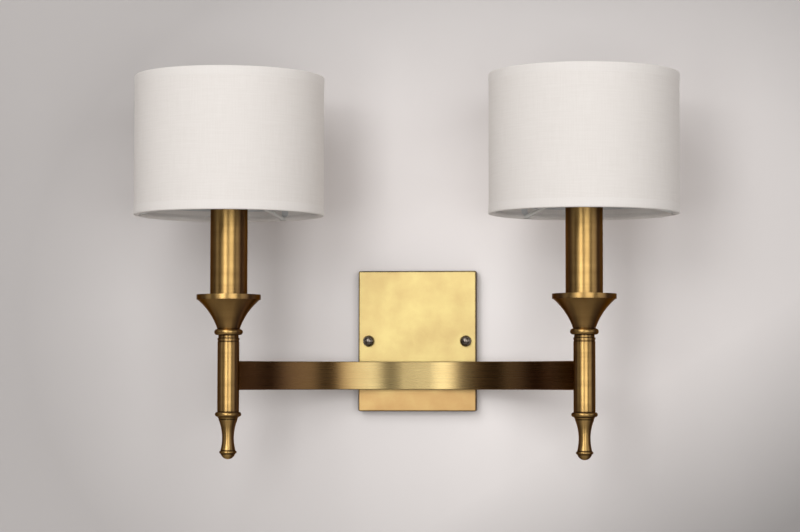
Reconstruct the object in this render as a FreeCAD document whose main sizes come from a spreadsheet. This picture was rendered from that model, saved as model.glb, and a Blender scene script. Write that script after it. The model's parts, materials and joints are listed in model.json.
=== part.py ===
"""Double arm wall sconce.

A shallow brass pan covers the wall box. A flat arm of rectangular tube bows forward from the pan to two
turned columns. Each column carries, upwards, a collar, a trumpet-shaped cup, a candle tube with its
lampholder and a drum shade on a three-spoke carrier, and, downwards, a bead and a finial.

Millimetres. +Z is up, +X is to the right of someone facing the wall, +Y points into the wall. The wall
is the plane y = 0, and the origin is the middle of the backplate on the wall.
"""
import FreeCAD, Part
import math
import os
import re

import Sketcher

# Every size that can be set by itself, in millimetres or degrees, written once.
SIZES = {
    # Backplate: a pan pressed from sheet, open towards the wall.
    "plate_side_margin": 9.55,
    "plate_height": 128.0,
    "plate_depth": 12.0,
    "plate_sheet": 1.2,
    "plate_corner": 1.6,
    "plate_edge": 0.6,
    # Cross-shaped bracket behind the plate, and what is on it.
    "bracket_end_margin": 6.05,
    "bracket_height": 104.0,
    "bracket_bar": 18.0,
    "bracket_sheet": 2.0,
    "bracket_wire_hole": 12.0,
    "box_slot_spacing": 79.4,
    "box_slot_length": 14.6,
    "box_slot_width": 5.2,
    "stud_spacing": 88.9,
    "stud_diameter": 4.1,
    "stud_grip": 4.4,
    "stud_nut_flats": 8.7,
    "stud_nut_height": 3.2,
    "ground_screw_offset": 24.0,
    "ground_screw_diameter": 4.8,
    "ground_screw_head": 8.4,
    "ground_screw_head_height": 2.6,
    # Domed nuts on the face of the plate.
    "cap_nut_diameter": 10.3,
    "cap_nut_skirt": 2.0,
    "cap_nut_dome": 4.5,
    # Arm: flat tube on edge, straight where it is seated and then two equal arcs forward.
    "arm_level": -31.5,
    "arm_height": 25.4,
    "arm_thickness": 7.0,
    "arm_wall": 1.2,
    "arm_seat_length": 24.0,
    "arm_edge": 0.6,
    "column_spread": 311.0,
    "column_reach": 112.0,
    # Threaded tube, 1/8 inch pipe size, that holds the arm to the plate and each lamp to its column.
    "stem_diameter": 9.9,
    "stem_bore": 6.5,
    "stem_nut_flats": 14.3,
    "stem_nut_height": 3.5,
    "stem_nut_showing": 1.3,
    "lock_washer_diameter": 18.0,
    "lock_washer_thickness": 0.9,
    # Columns.
    "column_diameter": 19.05,
    "column_wall": 2.0,
    "column_length": 61.2,
    "column_rise": 29.4,
    "column_plug_length": 12.0,
    "wire_window": 6.4,
    # Upper collar: groove, small ring, neck and bead.
    "collar_groove_diameter": 18.4,
    "collar_groove_height": 1.5,
    "collar_ring_diameter": 19.2,
    "collar_ring_height": 1.8,
    "collar_neck_diameter": 17.7,
    "collar_neck_height": 2.6,
    "collar_bead_diameter": 25.0,
    "collar_bead_height": 5.2,
    "collar_bead_bulge": 2.3,
    # Trumpet cup and the pan that closes it.
    "cup_height": 30.1,
    "cup_foot_diameter": 19.5,
    "cup_mouth_diameter": 54.4,
    "cup_rim_diameter": 56.0,
    "cup_rim_height": 4.4,
    "cup_rim_wall": 1.4,
    "cup_hollow": 2.15,
    "cup_floor": 5.5,
    "cup_inner_hollow": 1.5,
    "pan_recess": 1.8,
    "pan_sheet": 1.2,
    "pan_ledge": 2.0,
    "pan_lip_height": 2.0,
    "pan_lip_wall": 1.0,
    # Candle tube.
    "tube_diameter": 32.5,
    "tube_wall": 1.1,
    "tube_length": 85.2,
    "tube_edge": 0.3,
    # Lampholder inside the candle tube, its strap and its contacts.
    "holder_diameter": 29.8,
    "holder_body_diameter": 28.4,
    "holder_length": 48.0,
    "holder_rise": 14.5,
    "holder_thread_length": 18.0,
    "holder_wall": 1.3,
    "holder_well_depth": 26.0,
    "shell_wall": 0.35,
    "shell_length": 24.2,
    "contact_diameter": 8.0,
    "contact_thickness": 0.8,
    "strap_width": 13.0,
    "strap_sheet": 1.2,
    "strap_leg_offset": 11.6,
    "strap_foot_back": 8.5,
    "strap_tab_length": 8.5,
    "strap_screw_offset": 7.0,
    "strap_screw_diameter": 3.5,
    "strap_screw_length": 8.0,
    "strap_screw_head": 6.4,
    "strap_screw_head_height": 2.2,
    # Threaded rings that hold the shade's hub.
    "ring_nut_diameter": 36.0,
    "rest_ring_height": 2.5,
    "clamp_ring_height": 5.0,
    # Shade: laminated drum hemmed over two wire rings, on three rising spokes.
    "shade_diameter": 166.0,
    "shade_height": 121.8,
    "shade_wall": 1.0,
    "hem_sheet": 0.5,
    "hem_turn": 5.0,
    "shade_wire": 3.0,
    "spoke_count": 3.0,
    "spoke_notch": 5.0,
    "spider_rise": 16.8,
    "hub_diameter": 46.0,
    "hub_sheet": 1.2,
    "spoke_overlap": 2.5,
    "left_shade_turn": 63.0,
    "right_shade_turn": 12.5,
    # Bulb with a medium screw base.
    "bulb_length": 104.0,
    "bulb_diameter": 58.0,
    "bulb_glass": 0.9,
    "bulb_shoulder": 40.0,
    "bulb_neck_hollow": 0.8,
    "base_diameter": 25.9,
    "base_length": 24.0,
    "base_wall": 0.5,
    "base_floor": 1.5,
    "button_diameter": 9.0,
    "button_height": 2.0,
    # Bead and finial below the column.
    "foot_bead_diameter": 23.0,
    "foot_bead_height": 4.1,
    "foot_bead_bulge": 1.75,
    "finial_length": 37.1,
    "finial_head_diameter": 19.2,
    "finial_step": 2.8,
    "finial_shoulder_diameter": 16.3,
    "finial_shoulder_hollow": 0.35,
    "finial_waist_hollow": 2.15,
    "finial_flare_diameter": 13.2,
    "finial_ring_diameter": 15.2,
    "finial_ring_height": 2.6,
    "finial_ring_bulge": 1.1,
    "finial_tip_diameter": 12.8,
    "finial_tip_height": 4.9,
    "finial_stud_diameter": 6.0,
    "finial_stud_length": 28.0,
    "finial_stud_grip": 14.0,
    # Two insulated conductors to each lamp.
    "conductor_diameter": 2.0,
    "conductor_gap": 0.7,
    "conductor_bend": 2.0,
    "conductor_rise_bend": 4.5,
    "conductor_end": 1.6,
    # Clearances.
    "thread_fit": 0.05,
    "slip_fit": 0.1,
    "running_fit": 0.05,
}

# Places that follow from the sizes, named once and used by every piece that meets there.
PLACES = {
    "plate_width": "stud_spacing + 2 * plate_side_margin",
    "bracket_width": "stud_spacing + 2 * bracket_end_margin",
    "plate_face": "plate_depth",
    "stem_radius": "stem_diameter / 2",
    "stem_hole": "stem_radius + thread_fit",
    "stud_hole": "stud_diameter / 2 + thread_fit",
    "stud_offset": "stud_spacing / 2",
    "arm_inner_face": "plate_depth + arm_wall",
    "arm_stem_end": "plate_depth - plate_sheet - lock_washer_thickness - stem_nut_height - stem_nut_showing",
    "arm_axis": "plate_depth + arm_thickness / 2",
    "column_offset": "column_spread / 2",
    "arm_run": "column_offset - arm_seat_length / 2",
    "arm_bow": "column_reach - arm_axis",
    "arm_radius": "(arm_run ^ 2 + arm_bow ^ 2) / (2 * arm_bow)",
    "arm_turn": "2 * atan(arm_bow / arm_run)",
    "column_radius": "column_diameter / 2",
    "column_bore": "column_radius - column_wall",
    "column_top": "arm_level + column_rise",
    "column_foot": "column_top - column_length",
    "collar_ring_low": "column_top + collar_groove_height",
    "collar_neck_low": "collar_ring_low + collar_ring_height",
    "collar_bead_low": "collar_neck_low + collar_neck_height",
    "collar_bead_root": "collar_bead_diameter / 2 - collar_bead_bulge",
    "collar_top": "collar_bead_low + collar_bead_height",
    "cup_top": "collar_top + cup_height",
    "cup_rim_low": "cup_top - cup_rim_height",
    "cup_inside": "cup_rim_diameter / 2 - cup_rim_wall",
    "pan_top": "cup_top - pan_recess",
    "pan_low": "pan_top - pan_sheet",
    "tube_inside": "tube_diameter / 2 - tube_wall",
    "pan_lip_outside": "tube_inside - slip_fit",
    "tube_top": "pan_top + tube_length",
    "strap_foot_top": "pan_top + strap_sheet",
    "stem_low": "column_top - column_plug_length + thread_fit",
    "stem_high": "strap_foot_top + stem_nut_height + stem_nut_showing",
    "holder_top": "tube_top + holder_rise",
    "holder_low": "holder_top - holder_length",
    "holder_thread_low": "holder_top - holder_thread_length",
    "holder_well": "holder_diameter / 2 - holder_wall",
    "holder_well_floor": "holder_top - holder_well_depth",
    "shell_outside": "holder_well - thread_fit",
    "shell_top": "holder_top - slip_fit",
    "contact_top": "holder_well_floor + contact_thickness",
    "ring_nut_bore": "holder_diameter / 2 + thread_fit",
    "rest_ring_top": "tube_top + rest_ring_height",
    "hub_low": "rest_ring_top + running_fit",
    "hub_top": "hub_low + hub_sheet",
    "hub_bore": "holder_diameter / 2 + slip_fit",
    "clamp_ring_low": "hub_top + running_fit",
    "clamp_ring_top": "clamp_ring_low + clamp_ring_height",
    "shade_foot": "hub_low - spider_rise",
    "shade_top": "shade_foot + shade_height",
    "shade_inside": "shade_diameter / 2 - shade_wall",
    "wire_ring_radius": "shade_inside - slip_fit - shade_wire / 2",
    "hem_inside": "wire_ring_radius - shade_wire / 2 - slip_fit - hem_sheet",
    "wire_ring_inset": "hem_sheet + slip_fit + shade_wire / 2",
    "spoke_hub_end": "hub_diameter / 2 - spoke_overlap",
    "spoke_hub_level": "hub_low + hub_sheet / 2",
    "spoke_ring_level": "shade_foot + wire_ring_inset",
    "spoke_run": "wire_ring_radius - spoke_hub_end",
    "spoke_climb": "spoke_hub_level - spoke_ring_level",
    "spoke_length": "sqrt(spoke_run ^ 2 + spoke_climb ^ 2)",
    "spoke_shift_out": "shade_wire / 2 * spoke_climb / spoke_length",
    "spoke_shift_up": "shade_wire / 2 * spoke_run / spoke_length",
    "button_low": "contact_top + slip_fit",
    "base_low": "button_low + button_height",
    "base_top": "base_low + base_length",
    "bulb_top": "button_low + bulb_length",
    "bulb_centre": "bulb_top - bulb_diameter / 2",
    "bulb_neck": "base_diameter / 2 - base_wall",
    "foot_bead_root": "foot_bead_diameter / 2 - foot_bead_bulge",
    "finial_top": "column_foot - foot_bead_height",
    "finial_shoulder": "finial_top - finial_step",
    "finial_low": "finial_top - finial_length",
    "finial_tip_top": "finial_low + finial_tip_height",
    "finial_ring_top": "finial_tip_top + finial_ring_height",
    "finial_ring_root": "finial_ring_diameter / 2 - finial_ring_bulge",
    "finial_stud_hole": "finial_stud_diameter / 2 + thread_fit",
    "finial_stud_low": "finial_top - finial_stud_grip",
    "conductor_offset": "(conductor_diameter + conductor_gap) / 2",
}

SIDES = (("left", -1), ("right", 1))
SMALLEST_CUT = 0.01  # mm3: a pocket that takes less than this has missed its solid
ORIGIN = FreeCAD.Vector(0, 0, 0)
UPRIGHT = FreeCAD.Rotation()
OUT_OF_WALL = FreeCAD.Rotation(FreeCAD.Vector(1, 0, 0), 90)  # a piece's own +Z turned to point at the room

doc = FreeCAD.newDocument("DoubleArmSconce")
sheet = doc.addObject("Spreadsheet::Sheet", "Sizes")
for row, (alias, number) in enumerate(SIZES.items(), start=1):
    sheet.set(f"A{row}", alias)
    sheet.set(f"B{row}", str(number))
    sheet.setAlias(f"B{row}", alias)
doc.recompute()


# ---------------------------------------------------------------- sizes and expressions


def bound(text):
    """The expression with each name in it written out as a cell of the sheet."""

    def swap(match):
        word = match.group(0)
        if word in SIZES:
            return "Sizes." + word
        if word in PLACES:
            return "(" + bound(PLACES[word]) + ")"
        return word

    return re.sub(r"[a-z]\w*", swap, text)


def value(text):
    """The expression worked out as a plain number."""
    answer = sheet.evalExpression(bound(text))
    return float(getattr(answer, "Value", answer))


def bind(thing, **expressions):
    """Tie properties of an object to expressions."""
    for name, text in expressions.items():
        thing.setExpression(name, bound(text))


def place(thing, x="0", y="0", z="0", rotation=UPRIGHT, turn=None):
    """Set an object's place, tied to expressions, with an optional turn about its upright axis."""
    if turn is not None:
        rotation = FreeCAD.Rotation(FreeCAD.Vector(0, 0, 1), value(turn))
    thing.Placement = FreeCAD.Placement(FreeCAD.Vector(value(x), value(y), value(z)), rotation)
    for axis, text in zip("xyz", (x, y, z)):
        thing.setExpression(f"Placement.Base.{axis}", bound(text))
    if turn is not None:
        thing.setExpression("Placement.Rotation.Angle", f"({bound(turn)}) * 1 deg")


def column_place(sign):
    """Where a column stands, as keyword arguments for place()."""
    return {"x": f"{sign} * column_offset", "y": "-column_reach"}


def arm_direction(sign):
    """The turn that points a piece's own +X from a column along the arm that meets it."""
    return "arm_turn / 1 deg" if sign < 0 else "180 - arm_turn / 1 deg"


# ---------------------------------------------------------------- sketches and features


def new_body(label):
    body = doc.addObject("PartDesign::Body", label)
    body.Label = label
    return body


def origin_feature(body, role):
    return next(part for part in body.Origin.OriginFeatures if part.Role == role)


def new_sketch(body, name, plane, lift=None):
    """A sketch on one of the body's own planes, or raised off it by an expression."""
    sketch = body.newObject("Sketcher::SketchObject", name)
    sketch.AttachmentSupport = [(origin_feature(body, plane), "")]
    sketch.MapMode = "FlatFace"
    if lift is not None:
        sketch.setExpression("AttachmentOffset.Base.z", bound(lift))
    return sketch


def limit(sketch, kind, geometry, point, text):
    """A dimension of the sketch, tied to an expression, or to the axis where it is zero."""
    if text == "0":
        axis = -2 if kind == "DistanceX" else -1
        sketch.addConstraint(Sketcher.Constraint("PointOnObject", geometry, point, axis))
        return
    if kind == "Radius":
        index = sketch.addConstraint(Sketcher.Constraint("Radius", geometry, value(text)))
    else:
        index = sketch.addConstraint(Sketcher.Constraint(kind, geometry, point, value(text)))
    sketch.setExpression(f"Constraints[{index}]", bound(text))


def cap_bulge(radius, height):
    """How far the arc from a round cap's edge to its pole stands out of its chord."""
    chord = f"(({radius}) ^ 2 + ({height}) ^ 2)"
    return f"{chord} / (2 * ({height})) * (1 - ({radius}) / sqrt({chord}))"


def arc_between(start, end, bulge):
    """The arc from start to end that stands bulge to the right of its chord, and whether it runs on."""
    chord = end - start
    outward = FreeCAD.Vector(chord.y, -chord.x, 0).normalize()
    radius = chord.Length ** 2 / (8 * bulge) + bulge / 2
    centre = (start + end) / 2 + outward * (bulge - radius)
    forward = bulge > 0
    first, last = (start, end) if forward else (end, start)
    first_angle = math.atan2(first.y - centre.y, first.x - centre.x)
    last_angle = math.atan2(last.y - centre.y, last.x - centre.x)
    if last_angle < first_angle:
        last_angle += 2 * math.pi
    circle = Part.Circle(centre, FreeCAD.Vector(0, 0, 1), abs(radius))
    return Part.ArcOfCircle(circle, first_angle, last_angle), forward


def outline(sketch, corners):
    """Draw a closed outline, anticlockwise, with every corner tied to expressions.

    A corner is (x, y), reached by a straight line, or (x, y, bulge), reached by an arc that stands
    that far out of its chord, or into the material where bulge is negative.
    """
    spots = [FreeCAD.Vector(value(corner[0]), value(corner[1]), 0) for corner in corners]
    ends = []
    for index, corner in enumerate(corners):
        start, end = spots[index - 1], spots[index]
        if len(corner) == 2:
            geometry = sketch.addGeometry(Part.LineSegment(start, end), False)
            ends.append((geometry, 1, 2))
            continue
        arc, forward = arc_between(start, end, value(corner[2]))
        geometry = sketch.addGeometry(arc, False)
        ends.append((geometry, 1, 2) if forward else (geometry, 2, 1))
    for index, corner in enumerate(corners):
        geometry, _, end_point = ends[index]
        following, start_point, _ = ends[(index + 1) % len(corners)]
        sketch.addConstraint(Sketcher.Constraint("Coincident", geometry, end_point, following, start_point))
        limit(sketch, "DistanceX", geometry, end_point, corner[0])
        limit(sketch, "DistanceY", geometry, end_point, corner[1])
        if len(corner) == 3:
            before = corners[index - 1]
            chord = f"((({corner[0]}) - ({before[0]})) ^ 2 + (({corner[1]}) - ({before[1]})) ^ 2)"
            radius = f"abs({chord} / (8 * ({corner[2]})) + ({corner[2]}) / 2)"
            limit(sketch, "Radius", geometry, 0, radius)
    return sketch


def rectangle(sketch, width, height):
    """A rectangle centred on the sketch's origin."""
    right, top = f"({width}) / 2", f"({height}) / 2"
    left, low = f"-({width}) / 2", f"-({height}) / 2"
    return outline(sketch, [(left, low), (right, low), (right, top), (left, top)])


def circle(sketch, x, y, diameter):
    """A circle with its centre and size tied to expressions."""
    spot = FreeCAD.Vector(value(x), value(y), 0)
    round_edge = Part.Circle(spot, FreeCAD.Vector(0, 0, 1), value(diameter) / 2)
    geometry = sketch.addGeometry(round_edge, False)
    limit(sketch, "DistanceX", geometry, 3, x)
    limit(sketch, "DistanceY", geometry, 3, y)
    limit(sketch, "Radius", geometry, 0, f"({diameter}) / 2")
    return sketch


def slot(sketch, y, length, width):
    """An upright slot with round ends, its middle on the sketch's own upright axis."""
    half, reach = f"({width}) / 2", f"(({length}) - ({width})) / 2"
    low, high = f"({y}) - {reach}", f"({y}) + {reach}"
    round_end = f"({width}) / 2 * 0.999"
    return outline(sketch, [(f"-{half}", low), (half, low, round_end), (half, high), (f"-{half}", high, round_end)])


def pad(body, name, sketch, length, both_ways=False):
    feature = body.newObject("PartDesign::Pad", name)
    feature.Profile = sketch
    feature.SideType = "Symmetric" if both_ways else "One side"
    bind(feature, Length=length)
    doc.recompute()
    return feature


def pocket(body, name, sketch, length, along_normal=False, both_ways=False):
    """Cut a sketch into the body, and make sure that it cut something."""
    before = body.Shape.Volume
    feature = body.newObject("PartDesign::Pocket", name)
    feature.Profile = sketch
    feature.SideType = "Symmetric" if both_ways else "One side"
    feature.Reversed = along_normal
    bind(feature, Length=length)
    doc.recompute()
    if body.Shape.Volume > before - SMALLEST_CUT:
        raise RuntimeError(f"{body.Label}: {name} cut nothing")
    return feature


def revolve(body, name, sketch, axis="V_Axis"):
    feature = body.newObject("PartDesign::Revolution", name)
    feature.Profile = sketch
    feature.ReferenceAxis = (sketch, [axis])
    feature.Angle = 360
    return feature


def turn_out(body, name, sketch):
    """Turn a sketch's shape out of the body, and make sure that it cut something."""
    before = body.Shape.Volume
    feature = body.newObject("PartDesign::Groove", name)
    feature.Profile = sketch
    feature.ReferenceAxis = (sketch, ["V_Axis"])
    feature.Angle = 360
    doc.recompute()
    if body.Shape.Volume > before - SMALLEST_CUT:
        raise RuntimeError(f"{body.Label}: {name} cut nothing")
    return feature


def repeat_round(body, name, feature, count):
    """Copy a feature evenly round the body's own upright axis."""
    pattern = body.newObject("PartDesign::PolarPattern", name)
    pattern.Originals = [feature]
    pattern.Axis = (origin_feature(body, "Z_Axis"), [""])
    pattern.Angle = 360
    bind(pattern, Occurrences=count)
    body.Tip = pattern
    doc.recompute()
    return pattern


def edges_where(base, wanted):
    """The edges of a feature for which wanted(edge) holds, as a link to them."""
    doc.recompute()
    return base, [f"Edge{n}" for n, edge in enumerate(base.Shape.Edges, start=1) if wanted(edge)]


def round_edges(body, name, base, radius, wanted):
    fillet = body.newObject("PartDesign::Fillet", name)
    fillet.Base = edges_where(base, wanted)
    bind(fillet, Radius=radius)
    doc.recompute()
    return fillet


def ease_edges(body, name, base, size, wanted):
    """Break edges with a small chamfer."""
    chamfer = body.newObject("PartDesign::Chamfer", name)
    chamfer.Base = edges_where(base, wanted)
    bind(chamfer, Size=size)
    doc.recompute()
    return chamfer


def turned(label, corners, rotation=UPRIGHT, turn=None, **spot):
    """A lathe-turned piece: its half outline, radius and height, revolved round its own +Z."""
    body = new_body(label)
    revolve(body, f"{label}_turning", outline(new_sketch(body, f"{label}_outline", "XZ_Plane"), corners))
    place(body, rotation=rotation, turn=turn, **spot)
    return body


def sleeve(label, outer, inner, low, high, **spot):
    """A plain tube between two heights of its own axis, by its outer and inner radius."""
    return turned(label, [(inner, low), (outer, low), (outer, high), (inner, high)], **spot)


def hex_nut(label, flats, height, hole, rotation=UPRIGHT, **spot):
    """A six-sided nut that stands on its own origin."""
    blank = doc.addObject("Part::Prism", f"{label}_blank")
    blank.Polygon = 6
    bind(blank, Circumradius=f"({flats}) / sqrt(3)", Height=height)
    bore = doc.addObject("Part::Cylinder", f"{label}_bore")
    bind(bore, Radius=hole, Height=height)
    nut = doc.addObject("Part::Cut", label)
    nut.Base = blank
    nut.Tool = bore
    place(nut, rotation=rotation, **spot)
    return nut


def grouped(label, pieces):
    """Equal pieces kept together as one sub-part."""
    group = doc.addObject("Part::Compound", label)
    group.Label = label
    group.Links = pieces
    return group


# ---------------------------------------------------------------- behind and on the backplate


def wall_bracket():
    """A cross stamped from steel: slots for the box screws upright, tapped holes for the studs across."""
    body = new_body("wall_bracket")
    across = rectangle(new_sketch(body, "bracket_across", "XZ_Plane"), "bracket_width", "bracket_bar")
    pad(body, "bracket_across_pad", across, "bracket_sheet")
    upright = rectangle(new_sketch(body, "bracket_upright", "XZ_Plane"), "bracket_bar", "bracket_height")
    pad(body, "bracket_upright_pad", upright, "bracket_sheet")
    holes = new_sketch(body, "bracket_holes", "XZ_Plane")
    circle(holes, "0", "0", "bracket_wire_hole")
    circle(holes, "ground_screw_offset", "0", "ground_screw_diameter + 2 * thread_fit")
    for _, sign in SIDES:
        circle(holes, f"{sign} * stud_offset", "0", "2 * stud_hole")
        slot(holes, f"{sign} * box_slot_spacing / 2", "box_slot_length", "box_slot_width")
    pocket(body, "bracket_holes_cut", holes, "bracket_sheet", along_normal=True)
    place(body)
    return body


def ground_screw():
    """The screw on the bracket for the earth wire of the house."""
    radius, head = "ground_screw_diameter / 2", "ground_screw_head / 2"
    top = "bracket_sheet + ground_screw_head_height"
    corners = [("0", "0"), (radius, "0"), (radius, "bracket_sheet"), (head, "bracket_sheet")]
    dome = "ground_screw_head_height / 3"
    corners += [(head, f"{top} - {dome}"), ("0", top, cap_bulge(head, dome))]
    return turned("ground_screw", corners, rotation=OUT_OF_WALL, x="ground_screw_offset")


def bracket_studs():
    """Two threaded studs, from the bracket through the face of the plate."""
    tip = "plate_face + stud_grip"
    studs = []
    for side, sign in SIDES:
        corners = [("0", "0"), ("stud_diameter / 2", "0"), ("stud_diameter / 2", tip), ("0", tip)]
        spot = {"x": f"{sign} * stud_offset", "rotation": OUT_OF_WALL}
        studs.append(turned(f"bracket_stud_{side}", corners, **spot))
    return grouped("bracket_studs", studs)


def stud_lock_nuts():
    """The nuts that lock the studs on the bracket."""
    nuts = []
    for side, sign in SIDES:
        spot = {"x": f"{sign} * stud_offset", "y": "-bracket_sheet", "rotation": OUT_OF_WALL}
        nuts.append(hex_nut(f"stud_lock_nut_{side}", "stud_nut_flats", "stud_nut_height", "stud_hole", **spot))
    return grouped("stud_lock_nuts", nuts)


def backplate():
    """The pan: pressed from sheet with rounded corners, and pierced for the studs and the arm."""
    body = new_body("backplate")
    face = rectangle(new_sketch(body, "plate_outline", "XZ_Plane"), "plate_width", "plate_height")
    block = pad(body, "plate_block", face, "plate_depth")
    corners = round_edges(
        body, "plate_corners", block, "plate_corner",
        lambda edge: abs(edge.Vertexes[0].Y - edge.Vertexes[-1].Y) > value("plate_depth") / 2,
    )
    ease_edges(
        body, "plate_rim", corners, "plate_edge",
        lambda edge: edge.BoundBox.YMax < -value("plate_depth") / 2,
    )
    width, height = "plate_width - 2 * plate_sheet", "plate_height - 2 * plate_sheet"
    inside = rectangle(new_sketch(body, "plate_inside", "XZ_Plane"), width, height)
    pocket(body, "plate_hollow", inside, "plate_depth - plate_sheet", along_normal=True)
    holes = new_sketch(body, "plate_holes", "XZ_Plane")
    circle(holes, "0", "arm_level", "2 * (stem_radius + slip_fit)")
    for _, sign in SIDES:
        circle(holes, f"{sign} * stud_offset", "0", "stud_diameter + 2 * slip_fit")
    pocket(body, "plate_piercing", holes, "2 * plate_depth", along_normal=True)
    place(body)
    return body


def cap_nuts():
    """Two round domed nuts that draw the plate to the wall."""
    nuts = []
    radius, bore = "cap_nut_diameter / 2", "stud_hole"
    depth = "stud_grip + thread_fit"
    for side, sign in SIDES:
        corners = [(bore, "0"), (radius, "0"), (radius, "cap_nut_skirt")]
        corners += [("0", "cap_nut_skirt + cap_nut_dome", cap_bulge(radius, "cap_nut_dome"))]
        corners += [("0", depth), (bore, depth)]
        spot = {"x": f"{sign} * stud_offset", "y": "-plate_face", "rotation": OUT_OF_WALL}
        nuts.append(turned(f"cap_nut_{side}", corners, **spot))
    return grouped("cap_nuts", nuts)


def arm_outline(sketch, thickness):
    """The arm seen from above: a straight seat and an arc at each side, as wide as thickness."""
    half = f"({thickness}) / 2"
    seat = "arm_seat_length / 2"
    back, front = f"-arm_axis + {half}", f"-arm_axis - {half}"
    across, along = f"{half} * sin(arm_turn)", f"{half} * cos(arm_turn)"
    bulge_back = f"(arm_radius + {half}) * (1 - cos(arm_turn / 2))"
    bulge_front = f"-(arm_radius - {half}) * (1 - cos(arm_turn / 2))"
    back_end = (f"column_offset + {across}", f"-column_reach + {along}")
    front_end = (f"column_offset - {across}", f"-column_reach - {along}")
    return outline(sketch, [
        (f"-({back_end[0]})", back_end[1], bulge_back),
        (f"-({front_end[0]})", front_end[1]),
        (f"-{seat}", front, bulge_front),
        (seat, front),
        (*front_end, bulge_front),
        back_end,
        (seat, back, bulge_back),
        (f"-{seat}", back),
    ])


def arm():
    """The bowed arm: rectangular tube with eased edges, saddled to the columns and pierced for its stem."""
    body = new_body("arm")
    plan = arm_outline(new_sketch(body, "arm_plan", "XY_Plane"), "arm_thickness")
    bar = pad(body, "arm_bar", plan, "arm_height", both_ways=True)
    ease_edges(
        body, "arm_edges", bar, "arm_edge",
        lambda edge: edge.BoundBox.ZLength < value("arm_height") / 2,
    )
    duct = arm_outline(new_sketch(body, "arm_duct_plan", "XY_Plane"), "arm_thickness - 2 * arm_wall")
    pocket(body, "arm_duct", duct, "arm_height - 2 * arm_wall", both_ways=True)
    saddles = new_sketch(body, "arm_saddles", "XY_Plane")
    for _, sign in SIDES:
        circle(saddles, f"{sign} * column_offset", "-column_reach", "column_diameter")
    pocket(body, "arm_saddle_cuts", saddles, "2 * arm_height", both_ways=True)
    hole = circle(new_sketch(body, "arm_stem_hole", "XZ_Plane"), "0", "0", "2 * stem_hole")
    pocket(body, "arm_stem_cut", hole, "arm_axis", along_normal=True)
    place(body, z="arm_level")
    return body


def arm_stem():
    """The threaded tube that the arm hangs on and its wires pass through."""
    spot = {"z": "arm_level", "rotation": OUT_OF_WALL}
    return sleeve("arm_stem", "stem_radius", "stem_bore / 2", "arm_stem_end", "arm_inner_face", **spot)


def arm_lock_washer():
    low = "plate_depth - plate_sheet - lock_washer_thickness"
    spot = {"z": "arm_level", "rotation": OUT_OF_WALL}
    outer, high = "lock_washer_diameter / 2", "plate_depth - plate_sheet"
    return sleeve("arm_lock_washer", outer, "stem_hole", low, high, **spot)


def arm_nut():
    back = "-(plate_depth - plate_sheet - lock_washer_thickness - stem_nut_height)"
    spot = {"y": back, "z": "arm_level", "rotation": OUT_OF_WALL}
    nut = hex_nut("arm_nut", "stem_nut_flats", "stem_nut_height", "stem_hole", **spot)
    nut.Label = "arm_nut"
    return nut


# ---------------------------------------------------------------- columns


def column_tube(side, sign):
    """The column: a tube with a window in its side where the wires come in from the arm."""
    label = f"column_tube_{side}"
    spot = {**column_place(sign), "turn": arm_direction(sign)}
    body = sleeve(label, "column_radius", "column_bore", "column_foot", "column_top", **spot)
    doc.recompute()
    window = circle(new_sketch(body, f"{label}_window", "YZ_Plane"), "0", "arm_level", "wire_window")
    pocket(body, f"{label}_window_cut", window, "column_diameter", along_normal=True)
    return body


def column_plugs_upper():
    """Tapped plugs in the tops of the columns, which the lamp stems screw into."""
    plugs = []
    low = "column_top - column_plug_length"
    for side, sign in SIDES:
        label = f"column_plug_upper_{side}"
        plugs.append(sleeve(label, "column_bore", "stem_hole", low, "column_top", **column_place(sign)))
    return grouped("column_plugs_upper", plugs)


def column_plugs_lower():
    """Tapped plugs in the feet of the columns, which the finial studs screw into."""
    plugs = []
    high = "column_foot + column_plug_length"
    for side, sign in SIDES:
        label = f"column_plug_lower_{side}"
        plugs.append(sleeve(label, "column_bore", "finial_stud_hole", "column_foot", high, **column_place(sign)))
    return grouped("column_plugs_lower", plugs)


def lamp_stems():
    """Threaded tubes from the columns up through collar, cup and strap."""
    stems = []
    for side, sign in SIDES:
        label = f"lamp_stem_{side}"
        stems.append(sleeve(label, "stem_radius", "stem_bore / 2", "stem_low", "stem_high", **column_place(sign)))
    return grouped("lamp_stems", stems)


def lamp_stem_nuts():
    """The nuts that clamp the strap, the pan, the cup and the collar down to the column."""
    nuts = []
    for side, sign in SIDES:
        spot = {**column_place(sign), "z": "strap_foot_top"}
        nuts.append(hex_nut(f"lamp_stem_nut_{side}", "stem_nut_flats", "stem_nut_height", "stem_hole", **spot))
    return grouped("lamp_stem_nuts", nuts)


def upper_collar(side, sign):
    """Turned collar on the column: fine groove, small ring, neck and round bead."""
    groove, ring = "collar_groove_diameter / 2", "collar_ring_diameter / 2"
    neck = "collar_neck_diameter / 2"
    corners = [
        ("stem_hole", "column_top"),
        (groove, "column_top"),
        (groove, "collar_ring_low"),
        (ring, "collar_ring_low"),
        (ring, "collar_neck_low"),
        (neck, "collar_neck_low"),
        (neck, "collar_bead_low"),
        ("collar_bead_root", "collar_bead_low"),
        ("collar_bead_root", "collar_top", "collar_bead_bulge"),
        ("stem_hole", "collar_top"),
    ]
    return turned(f"upper_collar_{side}", corners, **column_place(sign))


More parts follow.
